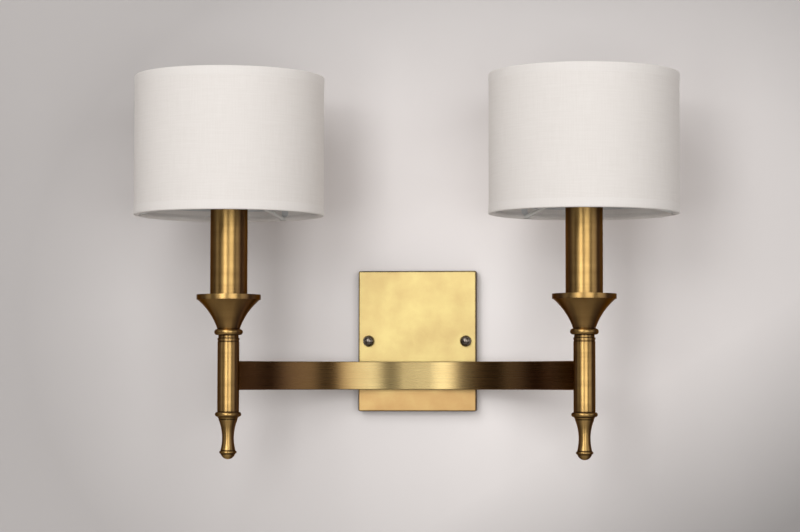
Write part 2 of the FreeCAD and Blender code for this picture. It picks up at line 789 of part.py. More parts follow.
def drip_cup(side, sign):
    """The trumpet: a hollow flare with an upright rim, and a ledge inside it for the pan."""
    rim, mouth, foot = "cup_rim_diameter / 2", "cup_mouth_diameter / 2", "cup_foot_diameter / 2"
    ledge = "cup_inside - pan_ledge"
    floor = "collar_top + cup_floor"
    corners = [
        ("stem_hole", "collar_top"),
        (foot, "collar_top"),
        (mouth, "cup_rim_low", "-cup_hollow"),
        (rim, "cup_rim_low"),
        (rim, "cup_top"),
        ("cup_inside", "cup_top"),
        ("cup_inside", "pan_low"),
        (ledge, "pan_low"),
        (foot, floor, "cup_inner_hollow"),
        ("stem_hole", floor),
    ]
    return turned(f"drip_cup_{side}", corners, **column_place(sign))


def drip_pan(side, sign):
    """The pan that closes the cup, with a lip that the candle tube stands round."""
    edge, lip_inside = "cup_inside - slip_fit", "pan_lip_outside - pan_lip_wall"
    lip_top = "pan_top + pan_lip_height"
    corners = [
        ("stem_hole", "pan_low"),
        (edge, "pan_low"),
        (edge, "pan_top"),
        ("pan_lip_outside", "pan_top"),
        ("pan_lip_outside", lip_top),
        (lip_inside, lip_top),
        (lip_inside, "pan_top"),
        ("stem_hole", "pan_top"),
    ]
    return turned(f"drip_pan_{side}", corners, **column_place(sign))


def lower_collar(side, sign):
    """The bead between column and finial."""
    corners = [
        ("finial_stud_hole", "finial_top"),
        ("foot_bead_root", "finial_top"),
        ("foot_bead_root", "column_foot", "foot_bead_bulge"),
        ("finial_stud_hole", "column_foot"),
    ]
    return turned(f"lower_collar_{side}", corners, **column_place(sign))


def finial(side, sign):
    """The turned drop: stepped head, long waist, flare, ring and round tip."""
    flare, tip = "finial_flare_diameter / 2", "finial_tip_diameter / 2"
    hole_end = "finial_stud_low - thread_fit"
    corners = [
        ("0", hole_end),
        ("0", "finial_low"),
        (tip, "finial_tip_top", cap_bulge(tip, "finial_tip_height")),
        ("finial_ring_root", "finial_tip_top"),
        ("finial_ring_root", "finial_ring_top", "finial_ring_bulge"),
        (flare, "finial_ring_top"),
        ("finial_shoulder_diameter / 2", "finial_shoulder", "-finial_waist_hollow"),
        ("finial_head_diameter / 2", "finial_top", "-finial_shoulder_hollow"),
        ("finial_stud_hole", "finial_top"),
        ("finial_stud_hole", hole_end),
    ]
    return turned(f"finial_{side}", corners, **column_place(sign))


def finial_studs():
    """The studs that join the finials to the columns."""
    studs = []
    radius = "finial_stud_diameter / 2"
    high = "finial_stud_low + finial_stud_length"
    for side, sign in SIDES:
        corners = [("0", "finial_stud_low"), (radius, "finial_stud_low"), (radius, high), ("0", high)]
        studs.append(turned(f"finial_stud_{side}", corners, **column_place(sign)))
    return grouped("finial_studs", studs)


# ---------------------------------------------------------------- lampholders


def candle_tube(side, sign):
    """The tube that hides the lampholder, with its ends eased."""
    outer, eased = "tube_diameter / 2", "tube_diameter / 2 - tube_edge"
    corners = [
        ("tube_inside", "pan_top"),
        (outer, "pan_top"),
        (outer, "tube_top - tube_edge"),
        (eased, "tube_top"),
        ("tube_inside", "tube_top"),
    ]
    return turned(f"candle_tube_{side}", corners, **column_place(sign))


def socket_strap(side, sign):
    """The bent strap that carries the lampholder: foot on the pan, upright leg, tab under the holder."""
    label = f"socket_strap_{side}"
    body = new_body(label)
    leg, tab = "strap_leg_offset", "holder_low - strap_sheet"
    profile = outline(new_sketch(body, f"{label}_profile", "XZ_Plane"), [
        ("-strap_foot_back", "pan_top"),
        (leg, "pan_top"),
        (leg, "holder_low"),
        ("strap_leg_offset - strap_tab_length", "holder_low"),
        ("strap_leg_offset - strap_tab_length", tab),
        ("strap_leg_offset - strap_sheet", tab),
        ("strap_leg_offset - strap_sheet", "strap_foot_top"),
        ("-strap_foot_back", "strap_foot_top"),
    ])
    pad(body, f"{label}_bent", profile, "strap_width", both_ways=True)
    foot_hole = circle(new_sketch(body, f"{label}_foot_hole", "XY_Plane", "pan_top"), "0", "0", "2 * stem_hole")
    pocket(body, f"{label}_foot_cut", foot_hole, "strap_sheet", along_normal=True)
    tab_hole = new_sketch(body, f"{label}_tab_hole", "XY_Plane", tab)
    circle(tab_hole, "strap_screw_offset", "0", "strap_screw_diameter + 2 * slip_fit")
    pocket(body, f"{label}_tab_cut", tab_hole, "strap_sheet", along_normal=True)
    place(body, turn=arm_direction(sign), **column_place(sign))
    return body


def socket_screws():
    """The screws up through the straps into the lampholders."""
    screws = []
    radius, head = "strap_screw_diameter / 2", "strap_screw_head / 2"
    seat = "holder_low - strap_sheet"
    low, high = f"{seat} - strap_screw_head_height", "holder_low + strap_screw_length"
    for side, sign in SIDES:
        bearing = f"({arm_direction(sign)})"
        spot = {
            "x": f"{sign} * column_offset + strap_screw_offset * cos({bearing})",
            "y": f"-column_reach + strap_screw_offset * sin({bearing})",
        }
        corners = [("0", low), (head, low), (head, seat), (radius, seat), (radius, high), ("0", high)]
        screws.append(turned(f"socket_screw_{side}", corners, **spot))
    return grouped("socket_screws", screws)


def lampholder(side, sign):
    """The moulded holder: solid below, a well for the screw shell above, threaded outside at the top."""
    label = f"lampholder_{side}"
    thread, barrel = "holder_diameter / 2", "holder_body_diameter / 2"
    corners = [
        ("0", "holder_low"),
        (barrel, "holder_low"),
        (barrel, "holder_thread_low"),
        (thread, "holder_thread_low"),
        (thread, "holder_top"),
        ("holder_well", "holder_top"),
        ("holder_well", "holder_well_floor"),
        ("0", "holder_well_floor"),
    ]
    body = turned(label, corners, turn=arm_direction(sign), **column_place(sign))
    doc.recompute()
    hole = new_sketch(body, f"{label}_screw_hole", "XY_Plane", "holder_low")
    circle(hole, "strap_screw_offset", "0", "strap_screw_diameter + 2 * thread_fit")
    pocket(body, f"{label}_screw_cut", hole, "strap_screw_length + thread_fit", along_normal=True)
    return body


def screw_shell(side, sign):
    """The brass sleeve that the bulb's base screws into."""
    inner, low = "shell_outside - shell_wall", "shell_top - shell_length"
    return sleeve(f"screw_shell_{side}", "shell_outside", inner, low, "shell_top", **column_place(sign))


def centre_contact(side, sign):
    """The contact on the floor of the well."""
    radius = "contact_diameter / 2"
    corners = [("0", "holder_well_floor"), (radius, "holder_well_floor"), (radius, "contact_top"), ("0", "contact_top")]
    return turned(f"centre_contact_{side}", corners, **column_place(sign))


def ring_nut(label, low, high, sign):
    """A threaded ring on the holder, with its upper edge eased."""
    outer, eased = "ring_nut_diameter / 2", "ring_nut_diameter / 2 - tube_edge"
    corners = [
        ("ring_nut_bore", low),
        (outer, low),
        (outer, f"{high} - tube_edge"),
        (eased, high),
        ("ring_nut_bore", high),
    ]
    return turned(label, corners, **column_place(sign))


# ---------------------------------------------------------------- shades and bulbs


def shade_drum(side, sign):
    """The drum: a laminated wall turned in over both wire rings, notched where the spokes come through."""
    label = f"shade_drum_{side}"
    outer, hem_back = "shade_diameter / 2", "hem_inside + hem_sheet"
    low_fold, high_fold = "shade_foot + hem_sheet", "shade_top - hem_sheet"
    low_turn, high_turn = "shade_foot + hem_turn", "shade_top - hem_turn"
    corners = [
        ("hem_inside", "shade_foot"),
        (outer, "shade_foot"),
        (outer, "shade_top"),
        ("hem_inside", "shade_top"),
        ("hem_inside", high_turn),
        (hem_back, high_turn),
        (hem_back, high_fold),
        ("shade_inside", high_fold),
        ("shade_inside", low_fold),
        (hem_back, low_fold),
        (hem_back, low_turn),
        ("hem_inside", low_turn),
    ]
    turn = f"{side}_shade_turn"
    body = turned(label, corners, turn=turn, **column_place(sign))
    doc.recompute()
    notch = new_sketch(body, f"{label}_notch", "YZ_Plane")
    half, high = "spoke_notch / 2", "shade_foot + 2 * hem_turn"
    outline(notch, [(f"-{half}", low_fold), (half, low_fold), (half, high), (f"-{half}", high)])
    cut = pocket(body, f"{label}_notch_cut", notch, "hem_inside + hem_sheet + slip_fit", along_normal=True)
    repeat_round(body, f"{label}_notches", cut, "spoke_count")
    return body


def shade_top_ring(side, sign):
    """The wire ring inside the upper hem."""
    ring = doc.addObject("Part::Torus", f"shade_top_ring_{side}")
    ring.Label = f"shade_top_ring_{side}"
    bind(ring, Radius1="wire_ring_radius", Radius2="shade_wire / 2")
    place(ring, z="shade_top - wire_ring_inset", **column_place(sign))
    return ring


def shade_hub(side, sign):
    """The hub of the carrier: a flat washer that turns round the lampholder, between the two rings."""
    return sleeve(f"shade_hub_{side}", "hub_diameter / 2", "hub_bore", "hub_low", "hub_top", **column_place(sign))


def shade_carrier(side, sign):
    """The carrier: lower wire ring, and three spokes that rise inwards and are slotted over the hub."""
    label = f"shade_carrier_{side}"
    body = new_body(label)
    wire = circle(new_sketch(body, f"{label}_wire", "XZ_Plane"), "wire_ring_radius", "spoke_ring_level", "shade_wire")
    revolve(body, f"{label}_ring", wire)
    rod = outline(new_sketch(body, f"{label}_rod", "XZ_Plane"), [
        ("spoke_hub_end", "spoke_hub_level"),
        ("wire_ring_radius", "spoke_ring_level"),
        ("wire_ring_radius + spoke_shift_out", "spoke_ring_level + spoke_shift_up"),
        ("spoke_hub_end + spoke_shift_out", "spoke_hub_level + spoke_shift_up"),
    ])
    spoke = revolve(body, f"{label}_spoke", rod, "Edge2")
    doc.recompute()
    repeat_round(body, f"{label}_spokes", spoke, "spoke_count")
    slots = outline(new_sketch(body, f"{label}_slots", "XZ_Plane"), [
        ("hub_bore", "hub_low"),
        ("hub_diameter / 2", "hub_low"),
        ("hub_diameter / 2", "hub_top"),
        ("hub_bore", "hub_top"),
    ])
    turn_out(body, f"{label}_slotted", slots)
    place(body, turn=f"{side}_shade_turn", **column_place(sign))
    return body


def bulb_glass(side, sign):
    """The blown envelope: a round head drawn in to a neck, open where the base closes it."""
    outer, inner = "bulb_diameter / 2", "(bulb_diameter / 2 - bulb_glass)"
    cap_angle = "(45 + bulb_shoulder / 2)"
    neck_inside = "bulb_neck - bulb_glass"

    def shoulder(radius):
        return f"{radius} * cos(bulb_shoulder)", f"bulb_centre - {radius} * sin(bulb_shoulder)"

    corners = [
        ("bulb_neck", "base_top"),
        (*shoulder(outer), "-bulb_neck_hollow"),
        ("0", "bulb_top", f"{outer} * (1 - cos{cap_angle})"),
        ("0", "bulb_top - bulb_glass"),
        (*shoulder(inner), f"-{inner} * (1 - cos{cap_angle})"),
        (neck_inside, "base_top", "bulb_neck_hollow"),
    ]
    return turned(f"bulb_glass_{side}", corners, **column_place(sign))


def bulb_base(side, sign):
    """The screw cap of the bulb, closed below."""
    outer, inner, floor = "base_diameter / 2", "bulb_neck", "base_low + base_floor"
    lip = "bulb_neck - bulb_glass"
    shelf = "base_top - base_floor"
    corners = [
        ("0", "base_low"),
        ("button_diameter / 2", "base_low"),
        (outer, "base_low + base_floor"),
        (outer, "base_top"),
        (lip, "base_top"),
        (lip, shelf),
        (inner, shelf),
        (inner, f"{floor} + base_wall"),
        ("0", f"{floor} + base_wall"),
    ]
    return turned(f"bulb_base_{side}", corners, **column_place(sign))


def bulb_button(side, sign):
    """The contact under the bulb's base."""
    radius = "button_diameter / 2"
    corners = [("0", "button_low"), (f"{radius} - base_wall", "button_low"), (radius, "base_low"), ("0", "base_low")]
    return turned(f"bulb_button_{side}", corners, **column_place(sign))


# ---------------------------------------------------------------- wiring


def conductor_route(sign, layer):
    """One conductor's centre line: out of the wall space, along the arm, up the column and the stem.

    layer is +1 for the upper conductor and -1 for the lower one.
    """
    offset = value("conductor_offset")
    level = value("arm_level") + layer * offset
    bend, rise = value("conductor_bend"), value("conductor_rise_bend")
    axis, seat, radius = value("arm_axis"), value("arm_seat_length") / 2, value("arm_radius")
    sweep = math.radians(value("arm_turn")) - rise / radius
    start = value("arm_stem_end") - value("conductor_end")

    def spot(x, out, z):
        return FreeCAD.Vector(sign * x, -out, z)

    def on_bow(angle):
        return spot(seat + radius * math.sin(angle), axis + radius * (1 - math.cos(angle)), level)

    def quarter(centre, first, second, size):
        """The middle of a quarter turn of the given size, between two directions."""
        return centre + (first + second) * (size * math.sqrt(0.5))

    turn_centre = spot(offset + bend, axis - bend, level)
    turn_in = spot(offset, axis - bend, level)
    turn_out = spot(offset + bend, axis, level)
    bow_start, bow_end = spot(seat, axis, level), on_bow(sweep)
    heading = FreeCAD.Vector(sign * math.cos(sweep), -math.sin(sweep), 0)
    upward = FreeCAD.Vector(0, 0, 1)
    climb = rise - layer * offset
    climb_centre = bow_end + upward * climb
    climb_end = bow_end + heading * climb + upward * climb
    top = FreeCAD.Vector(climb_end.x, climb_end.y, value("holder_low"))
    outwards = FreeCAD.Vector(0, -1, 0)
    sideways = FreeCAD.Vector(-sign, 0, 0)
    edges = [
        Part.LineSegment(spot(offset, start, level), turn_in),
        Part.Arc(turn_in, quarter(turn_centre, outwards, sideways, bend), turn_out),
        Part.LineSegment(turn_out, bow_start),
        Part.Arc(bow_start, on_bow(sweep / 2), bow_end),
        Part.Arc(bow_end, quarter(climb_centre, heading, -upward, climb), climb_end),
        Part.LineSegment(climb_end, top),
    ]
    return Part.Wire([edge.toShape() for edge in edges])


def arm_wires(side, sign):
    """The two insulated conductors of one lamp."""
    radius = value("conductor_diameter") / 2
    solids = []
    for layer in (1, -1):
        route = conductor_route(sign, layer)
        start = route.Vertexes[0].Point
        section = Part.Wire([Part.Circle(start, FreeCAD.Vector(0, 1, 0), radius).toShape()])
        solid = route.makePipeShell([section], True, False)
        expected = math.pi * radius ** 2 * route.Length
        print(f"arm_wires_{side}: {route.Length:.1f} mm, volume {solid.Volume / expected:.4f} of section x length")
        solids.append(solid)
    wires = doc.addObject("Part::Feature", f"arm_wires_{side}")
    wires.Label = f"arm_wires_{side}"
    wires.Shape = Part.Compound(solids)
    wires.Placement = FreeCAD.Placement(ORIGIN, UPRIGHT)
    return wires


# ---------------------------------------------------------------- the whole sconce


def build():
    """Every sub-part, in the order that the sconce is put together."""
    parts = [
        wall_bracket(), ground_screw(), bracket_studs(), stud_lock_nuts(), backplate(), cap_nuts(),
        arm(), arm_stem(), arm_lock_washer(), arm_nut(),
        column_plugs_upper(), column_plugs_lower(), lamp_stems(), lamp_stem_nuts(), finial_studs(), socket_screws(),
    ]
    for side, sign in SIDES:
        for maker in (column_tube, upper_collar, drip_cup, drip_pan, lower_collar, finial, candle_tube):
            parts.append(maker(side, sign))
        for maker in (socket_strap, lampholder, screw_shell, centre_contact):
            parts.append(maker(side, sign))
        parts.append(ring_nut(f"shade_rest_ring_{side}", "tube_top", "rest_ring_top", sign))
        parts.append(ring_nut(f"shade_clamp_ring_{side}", "clamp_ring_low", "clamp_ring_top", sign))
        for maker in (shade_drum, shade_top_ring, shade_hub, shade_carrier):
            parts.append(maker(side, sign))
        for maker in (bulb_glass, bulb_base, bulb_button, arm_wires):
            parts.append(maker(side, sign))
    doc.recompute()
    return parts


def check(parts):
    """Stop if anything in the document failed, or a sub-part has no sound shape."""
    failed = [thing.Label for thing in doc.Objects if {"Invalid", "Error"} & set(thing.State)]
    if failed:
        raise RuntimeError(f"failed objects: {failed}")
    for part in parts:
        if part.Shape.isNull() or not part.Shape.isValid() or not part.Shape.Solids:
            raise RuntimeError(f"{part.Label} has no sound shape")


def write(parts):
    os.makedirs("parts", exist_ok=True)
    for part in parts:
        part.Shape.exportStep(f"parts/{part.Label}.step")
    print(f"{len(parts)} sub-parts written")


sub_parts = build()
check(sub_parts)
write(sub_parts)
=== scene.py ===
# %% [markdown]
# # Double arm wall sconce
# The sconce is a brass plate on a wall, a flat arm that bows forward from it, and two turned columns
# that each carry a candle tube and a linen drum shade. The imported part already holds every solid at
# its true size, so this lesson only dresses it: metal finishes for the solids that stay as they are,
# and finer pieces in place of the cloth drums, the screw threads and the rings.

import json
import math
import random

import bmesh
import bpy
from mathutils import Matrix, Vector


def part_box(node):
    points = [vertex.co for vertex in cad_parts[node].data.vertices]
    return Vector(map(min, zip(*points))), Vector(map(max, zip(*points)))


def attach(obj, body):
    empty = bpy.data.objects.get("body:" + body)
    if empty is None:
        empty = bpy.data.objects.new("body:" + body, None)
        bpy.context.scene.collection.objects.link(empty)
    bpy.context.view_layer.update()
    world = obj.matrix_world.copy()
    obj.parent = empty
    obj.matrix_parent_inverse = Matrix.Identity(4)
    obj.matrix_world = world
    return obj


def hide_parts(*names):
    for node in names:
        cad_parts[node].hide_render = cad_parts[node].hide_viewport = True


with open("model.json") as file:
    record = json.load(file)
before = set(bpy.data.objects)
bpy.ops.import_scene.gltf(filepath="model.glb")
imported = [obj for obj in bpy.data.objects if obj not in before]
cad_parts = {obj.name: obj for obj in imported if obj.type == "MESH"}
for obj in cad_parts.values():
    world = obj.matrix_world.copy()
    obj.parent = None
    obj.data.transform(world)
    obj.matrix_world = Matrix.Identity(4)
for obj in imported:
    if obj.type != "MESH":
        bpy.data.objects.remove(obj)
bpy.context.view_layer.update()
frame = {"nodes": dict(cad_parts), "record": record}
SIDES = ("left", "right")
MM = 0.001

# %% [markdown]
# ## Sizes that the dressing reads off the part
# A piece that is made here has to sit exactly where its solid was. Typing the sizes again would work
# until the part changes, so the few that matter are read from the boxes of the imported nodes.

# %% Read the columns and the shades
def middle_of(node):
    low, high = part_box(node)
    return (low + high) / 2


def half_width(node):
    low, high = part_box(node)
    return (high.x - low.x) / 2


COLUMN = {}
for side in SIDES:
    middle = middle_of(f"column_tube_{side}")
    COLUMN[side] = Vector((middle.x, middle.y, 0))
SHADE_LOW, SHADE_HIGH = (corner.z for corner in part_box("shade_drum_left"))
SHADE_RADIUS = half_width("shade_drum_left")
print("columns at", {side: tuple(round(v, 4) for v in spot) for side, spot in COLUMN.items()})
print("shade radius", round(SHADE_RADIUS, 4), "from", round(SHADE_LOW, 4), "to", round(SHADE_HIGH, 4))

# %% [markdown]
# ## The camera
# The photograph is taken with a long lens from about two metres, a little to the right of the sconce
# and a little below its middle. A long lens keeps the two shades nearly the same size. The frame is
# 800 by 532, and the sconce hangs slightly above the middle of it, so the camera looks up a little.

# %% Stand the camera
CAMERA_SPOT = Vector((0.2167, -2.1011, -0.0345))
CAMERA_YAW = math.radians(4.36)
CAMERA_PITCH = math.radians(2.81)
SENSOR_WIDTH = 36.0
LENS = 103.5
SIDE_SHIFT = -0.1


def stand(name, data):
    """A new object in the scene."""
    made = bpy.data.objects.new(name, data)
    bpy.context.scene.collection.objects.link(made)
    return made


def heading(turn, lift):
    """The way that lies this far to the right of straight into the wall, and this far up."""
    return Vector((math.sin(turn) * math.cos(lift), math.cos(turn) * math.cos(lift), math.sin(lift)))


def aim(thing, way):
    thing.rotation_euler = way.to_track_quat("-Z", "Y").to_euler()


lens_data = bpy.data.cameras.new("camera")
lens_data.sensor_width = SENSOR_WIDTH
lens_data.lens = LENS
lens_data.shift_x = SIDE_SHIFT
lens_data.clip_start, lens_data.clip_end = 0.05, 40
camera = stand("camera", lens_data)
camera.location = CAMERA_SPOT
aim(camera, heading(-CAMERA_YAW, CAMERA_PITCH))
bpy.context.scene.camera = camera
bpy.context.scene.view_settings.view_transform = "Standard"
print("camera", tuple(camera.location), "lens", LENS)

# %% [markdown]
# ## Building materials in code
# Every finish below is a small web of nodes. A few helpers keep the web readable: they add a node and
# fill its sockets by name, do arithmetic, mix two colours, and fit a number from one range to another.
# A value that is itself a socket is linked, and anything else is typed in.

# %% Helpers for nodes
def feed(tree, socket, value):
    if isinstance(value, bpy.types.NodeSocket):
        tree.links.new(value, socket)
    else:
        socket.default_value = value


def add(tree, kind, settings=None, **inputs):
    """A new node: settings are its own options, and inputs are its sockets by name."""
    made = tree.nodes.new(kind)
    for name, value in (settings or {}).items():
        setattr(made, name, value)
    for name, value in inputs.items():
        feed(tree, made.inputs[name.replace("_", " ")], value)
    return made


def calc(tree, operation, *values, clamp=False):
    made = add(tree, "ShaderNodeMath", {"operation": operation, "use_clamp": clamp})
    for socket, value in zip(made.inputs, values):
        feed(tree, socket, value)
    return made.outputs[0]


def plus(tree, first, second):
    return calc(tree, "ADD", first, second)


def minus(tree, first, second):
    return calc(tree, "SUBTRACT", first, second)


def times(tree, first, second):
    return calc(tree, "MULTIPLY", first, second)


def over(tree, first, second):
    return calc(tree, "DIVIDE", first, second)


def size_of(tree, value):
    return calc(tree, "ABSOLUTE", value)


def vector_calc(tree, operation, first, second):
    made = add(tree, "ShaderNodeVectorMath", {"operation": operation})
    feed(tree, made.inputs[0], first)
    feed(tree, made.inputs[1], second)
    return made.outputs


def fit(tree, value, from_low, from_high, to_low, to_high):
    made = add(tree, "ShaderNodeMapRange", {"clamp": True})
    for socket, number in zip(made.inputs, (value, from_low, from_high, to_low, to_high)):
        feed(tree, socket, number)
    return made.outputs[0]


def spread(tree, mask, low, high):
    """Turn a mask of 0 to 1 into a number from low to high."""
    return fit(tree, mask, 0.0, 1.0, low, high)


def blend_colours(tree, factor, first, second):
    made = add(tree, "ShaderNodeMix", {"data_type": "RGBA"})
    for index, value in ((0, factor), (6, first), (7, second)):
        feed(tree, made.inputs[index], value)
    return made.outputs[2]


def tint(tree, colour, second, mask, share, start=0.0, full=1.0):
    """The colour, with up to this share of a second one as the mask goes from start to full."""
    return blend_colours(tree, fit(tree, mask, start, full, 0.0, share), colour, second)


def split(tree, vector):
    return add(tree, "ShaderNodeSeparateXYZ", Vector=vector).outputs


def join(tree, x, y, z):
    return add(tree, "ShaderNodeCombineXYZ", X=x, Y=y, Z=z).outputs[0]


def noise(tree, coordinates, scale, detail, roughness):
    return add(
        tree, "ShaderNodeTexNoise", {"noise_dimensions": "3D"},
        Vector=coordinates, Scale=scale, Detail=detail, Roughness=roughness,
    ).outputs[0]


# %% [markdown]
# ## Effects that several finishes share
# Grain, patina, worn edges, dust and weave each show on more than one piece. Each is a node group with
# named inputs, built once, and every finish places it with its own numbers. A group only puts out
# masks and heights: the shader itself stays in the material.

# %% Helper for a node group
SOCKET_TYPES = {"vector": "NodeSocketVector", "value": "NodeSocketFloat"}


def new_effect(name, inputs, outputs):
    """An empty node group: inputs are name: (type, default), outputs are names of values."""
    tree = bpy.data.node_groups.new(name, "ShaderNodeTree")
    for socket, (kind, default) in inputs.items():
        made = tree.interface.new_socket(name=socket, in_out="INPUT", socket_type=SOCKET_TYPES[kind])
        if default is not None:
            made.default_value = default
    for socket in outputs:
        tree.interface.new_socket(name=socket, in_out="OUTPUT", socket_type=SOCKET_TYPES["value"])
    source = tree.nodes.new("NodeGroupInput")
    sink = tree.nodes.new("NodeGroupOutput")
    return tree, source.outputs, sink.inputs


def effect(tree, group, **inputs):
    """Place an effect in a material and return its outputs."""
    return add(tree, "ShaderNodeGroup", {"node_tree": group}, **inputs).outputs


# %% [markdown]
# ### Brushed grain
# The arm is polished with an abrasive belt that runs along it, which leaves fine parallel scratches.
# Noise that is stretched far more along the belt than across it gives the same streaks. The stretch is
# an input, so the same group also gives the plate its much fainter rubbing marks.

# %% Brushed grain
tree, given, put = new_effect(
    "brushed_grain",
    {
        "Coordinates": ("vector", None),
        "Stretch": ("vector", (12.0, 900.0, 900.0)), "Broad": ("vector", (3.0, 120.0, 120.0)),
    },
    ["Height", "Streak"],
)
fine = vector_calc(tree, "MULTIPLY", given["Coordinates"], given["Stretch"])[0]
broad = vector_calc(tree, "MULTIPLY", given["Coordinates"], given["Broad"])[0]
feed(tree, put["Height"], noise(tree, fine, 1.0, 4.0, 0.65))
feed(tree, put["Streak"], noise(tree, broad, 1.0, 3.0, 0.6))
brushed_grain = tree
print("effect", brushed_grain.name)

# %% [markdown]
# ### Turned grain and painted side shade
# Columns, cups and finials are turned on a lathe, so their marks run round the axis. The pattern
# therefore depends on the height and on the distance from the axis, and hardly at all on the angle.
# Both columns share one finish: the group folds the left half of the sconce onto the right. It also
# tells how far a point lies to the side of its column, and the finish paints the two sides dark
# brown: painted shade, where the round faces turn away from the lamps and mirror the dim room.

# %% Turned grain
# These set where the painted shade on the two sides of a column begins and is full.
SIDE_SHADE_START, SIDE_SHADE_FULL = 0.36, 0.76    # where the brown sides begin and are full, in radii from the axis
NEXT_TO_NOTHING = 0.0001              # metres, so that nothing is divided by zero on the axis
DRIFT = 12.0                          # how fast the marks change round the axis
BAND_SCALE = 0.09                     # the broad bands, as a share of the fine marks' scale

tree, given, put = new_effect(
    "turned_grain",
    {
        "Coordinates": ("vector", None),
        "Axis X": ("value", 0.1555), "Axis Y": ("value", -0.112), "Marks": ("value", 1500.0),
    },
    ["Height", "Band", "Side"],
)
x, y, z = split(tree, given["Coordinates"])
from_axis_x = minus(tree, size_of(tree, x), given["Axis X"])
from_axis_y = minus(tree, y, given["Axis Y"])
squares = plus(tree, calc(tree, "POWER", from_axis_x, 2.0), calc(tree, "POWER", from_axis_y, 2.0))
distance = calc(tree, "SQRT", squares)
along = join(
    tree,
    times(tree, distance, given["Marks"]),
    times(tree, plus(tree, from_axis_x, from_axis_y), DRIFT),
    times(tree, z, given["Marks"]),
)
feed(tree, put["Height"], noise(tree, along, 1.0, 3.0, 0.6))
feed(tree, put["Band"], noise(tree, along, BAND_SCALE, 2.0, 0.5))
sideways = over(tree, size_of(tree, from_axis_x), calc(tree, "MAXIMUM", distance, NEXT_TO_NOTHING))
feed(tree, put["Side"], fit(tree, sideways, SIDE_SHADE_START, SIDE_SHADE_FULL, 0.0, 1.0))
turned_grain = tree
print("effect", turned_grain.name)

# %% [markdown]
# ### Patina
# Antique brass is darkened with a chemical and then rubbed back, so the colour clouds softly over a
# few centimetres, and small flecks stay dark. Two sizes of noise give the clouds and the flecks. The
# cloud drives the colour and the roughness, the fleck the colour or, on small parts, the relief.

# %% Patina
tree, given, put = new_effect(
    "patina",
    {"Coordinates": ("vector", None), "Cloud Size": ("value", 0.03), "Fleck Size": ("value", 0.0012)},
    ["Cloud", "Fleck"],
)
cloud = noise(tree, given["Coordinates"], over(tree, 1.0, given["Cloud Size"]), 4.0, 0.6)
fleck = noise(tree, given["Coordinates"], over(tree, 1.0, given["Fleck Size"]), 2.0, 0.5)
feed(tree, put["Cloud"], fit(tree, cloud, 0.3, 0.7, 0.0, 1.0))
feed(tree, put["Fleck"], fit(tree, fleck, 0.62, 0.78, 0.0, 1.0))
patina = tree
print("effect", patina.name)

# %% [markdown]
# ### Worn edges
# Hands and cloths rub a finish away at the corners first. The Bevel node bends the surface normal
# near an edge, so where it differs from the true normal there is an edge. Noise breaks the mask up,
# because real wear is never an even line.

# %% Worn edges
tree, given, put = new_effect(
    "edge_wear",
    {"Coordinates": ("vector", None), "Width": ("value", 0.0006), "Break Up": ("value", 250.0)},
    ["Worn"],
)
rounded = add(tree, "ShaderNodeBevel", {"samples": 4}, Radius=given["Width"]).outputs[0]
plain = add(tree, "ShaderNodeNewGeometry").outputs["Normal"]
facing = vector_calc(tree, "DOT_PRODUCT", rounded, plain)["Value"]
bent = fit(tree, facing, 0.995, 0.9, 0.0, 1.0)
broken = fit(tree, noise(tree, given["Coordinates"], given["Break Up"], 3.0, 0.6), 0.35, 0.6, 0.25, 1.0)
feed(tree, put["Worn"], times(tree, bent, broken))
edge_wear = tree
print("effect", edge_wear.name)

# %% [markdown]
# ### Dark recesses
# The dark finish survives where a cloth can't reach: under beads, in grooves and along joints. The
# Ambient Occlusion node measures how closed in a point is, over a few millimetres.

# %% Dark recesses
tree, given, put = new_effect("dark_recess", {"Reach": ("value", 0.003)}, ["Recess"])
open_share = add(
    tree, "ShaderNodeAmbientOcclusion", {"samples": 2, "only_local": False}, Distance=given["Reach"],
).outputs["AO"]
feed(tree, put["Recess"], fit(tree, open_share, 0.95, 0.45, 0.0, 1.0))
dark_recess = tree
print("effect", dark_recess.name)

# %% [markdown]
# ### Settled dust
# A wall light collects a thin film on whatever faces up. The mask is the upward part of the normal,
# thinned by noise. The brass is kept clean, so only the plastic and the white wire have it.

# %% Settled dust
tree, given, put = new_effect(
    "settled_dust", {"Coordinates": ("vector", None), "Amount": ("value", 0.3)}, ["Dust"],
)
upward = split(tree, add(tree, "ShaderNodeNewGeometry").outputs["Normal"])[2]
lying = fit(tree, upward, 0.45, 0.95, 0.0, 1.0)
thin = fit(tree, noise(tree, given["Coordinates"], 300.0, 4.0, 0.65), 0.35, 0.7, 0.2, 1.0)
feed(tree, put["Dust"], times(tree, times(tree, lying, thin), given["Amount"]))
settled_dust = tree
print("effect", settled_dust.name)

# %% [markdown]
# ### Woven linen
# Linen is a plain weave of uneven threads: each thread swells into slubs a few centimetres long. Two
# crossed waves give the over and under of the weave, and noise that is stretched along each thread
# direction gives the slubs. The pattern reads the cloth's own UV map, which is measured in metres.

# %% Woven linen
SLUBS_A_THREAD = 0.45    # how often the slubs change from one thread to the next
WEAVE_SHARE = 0.6        # how much of the relief is the weave and not the slubs

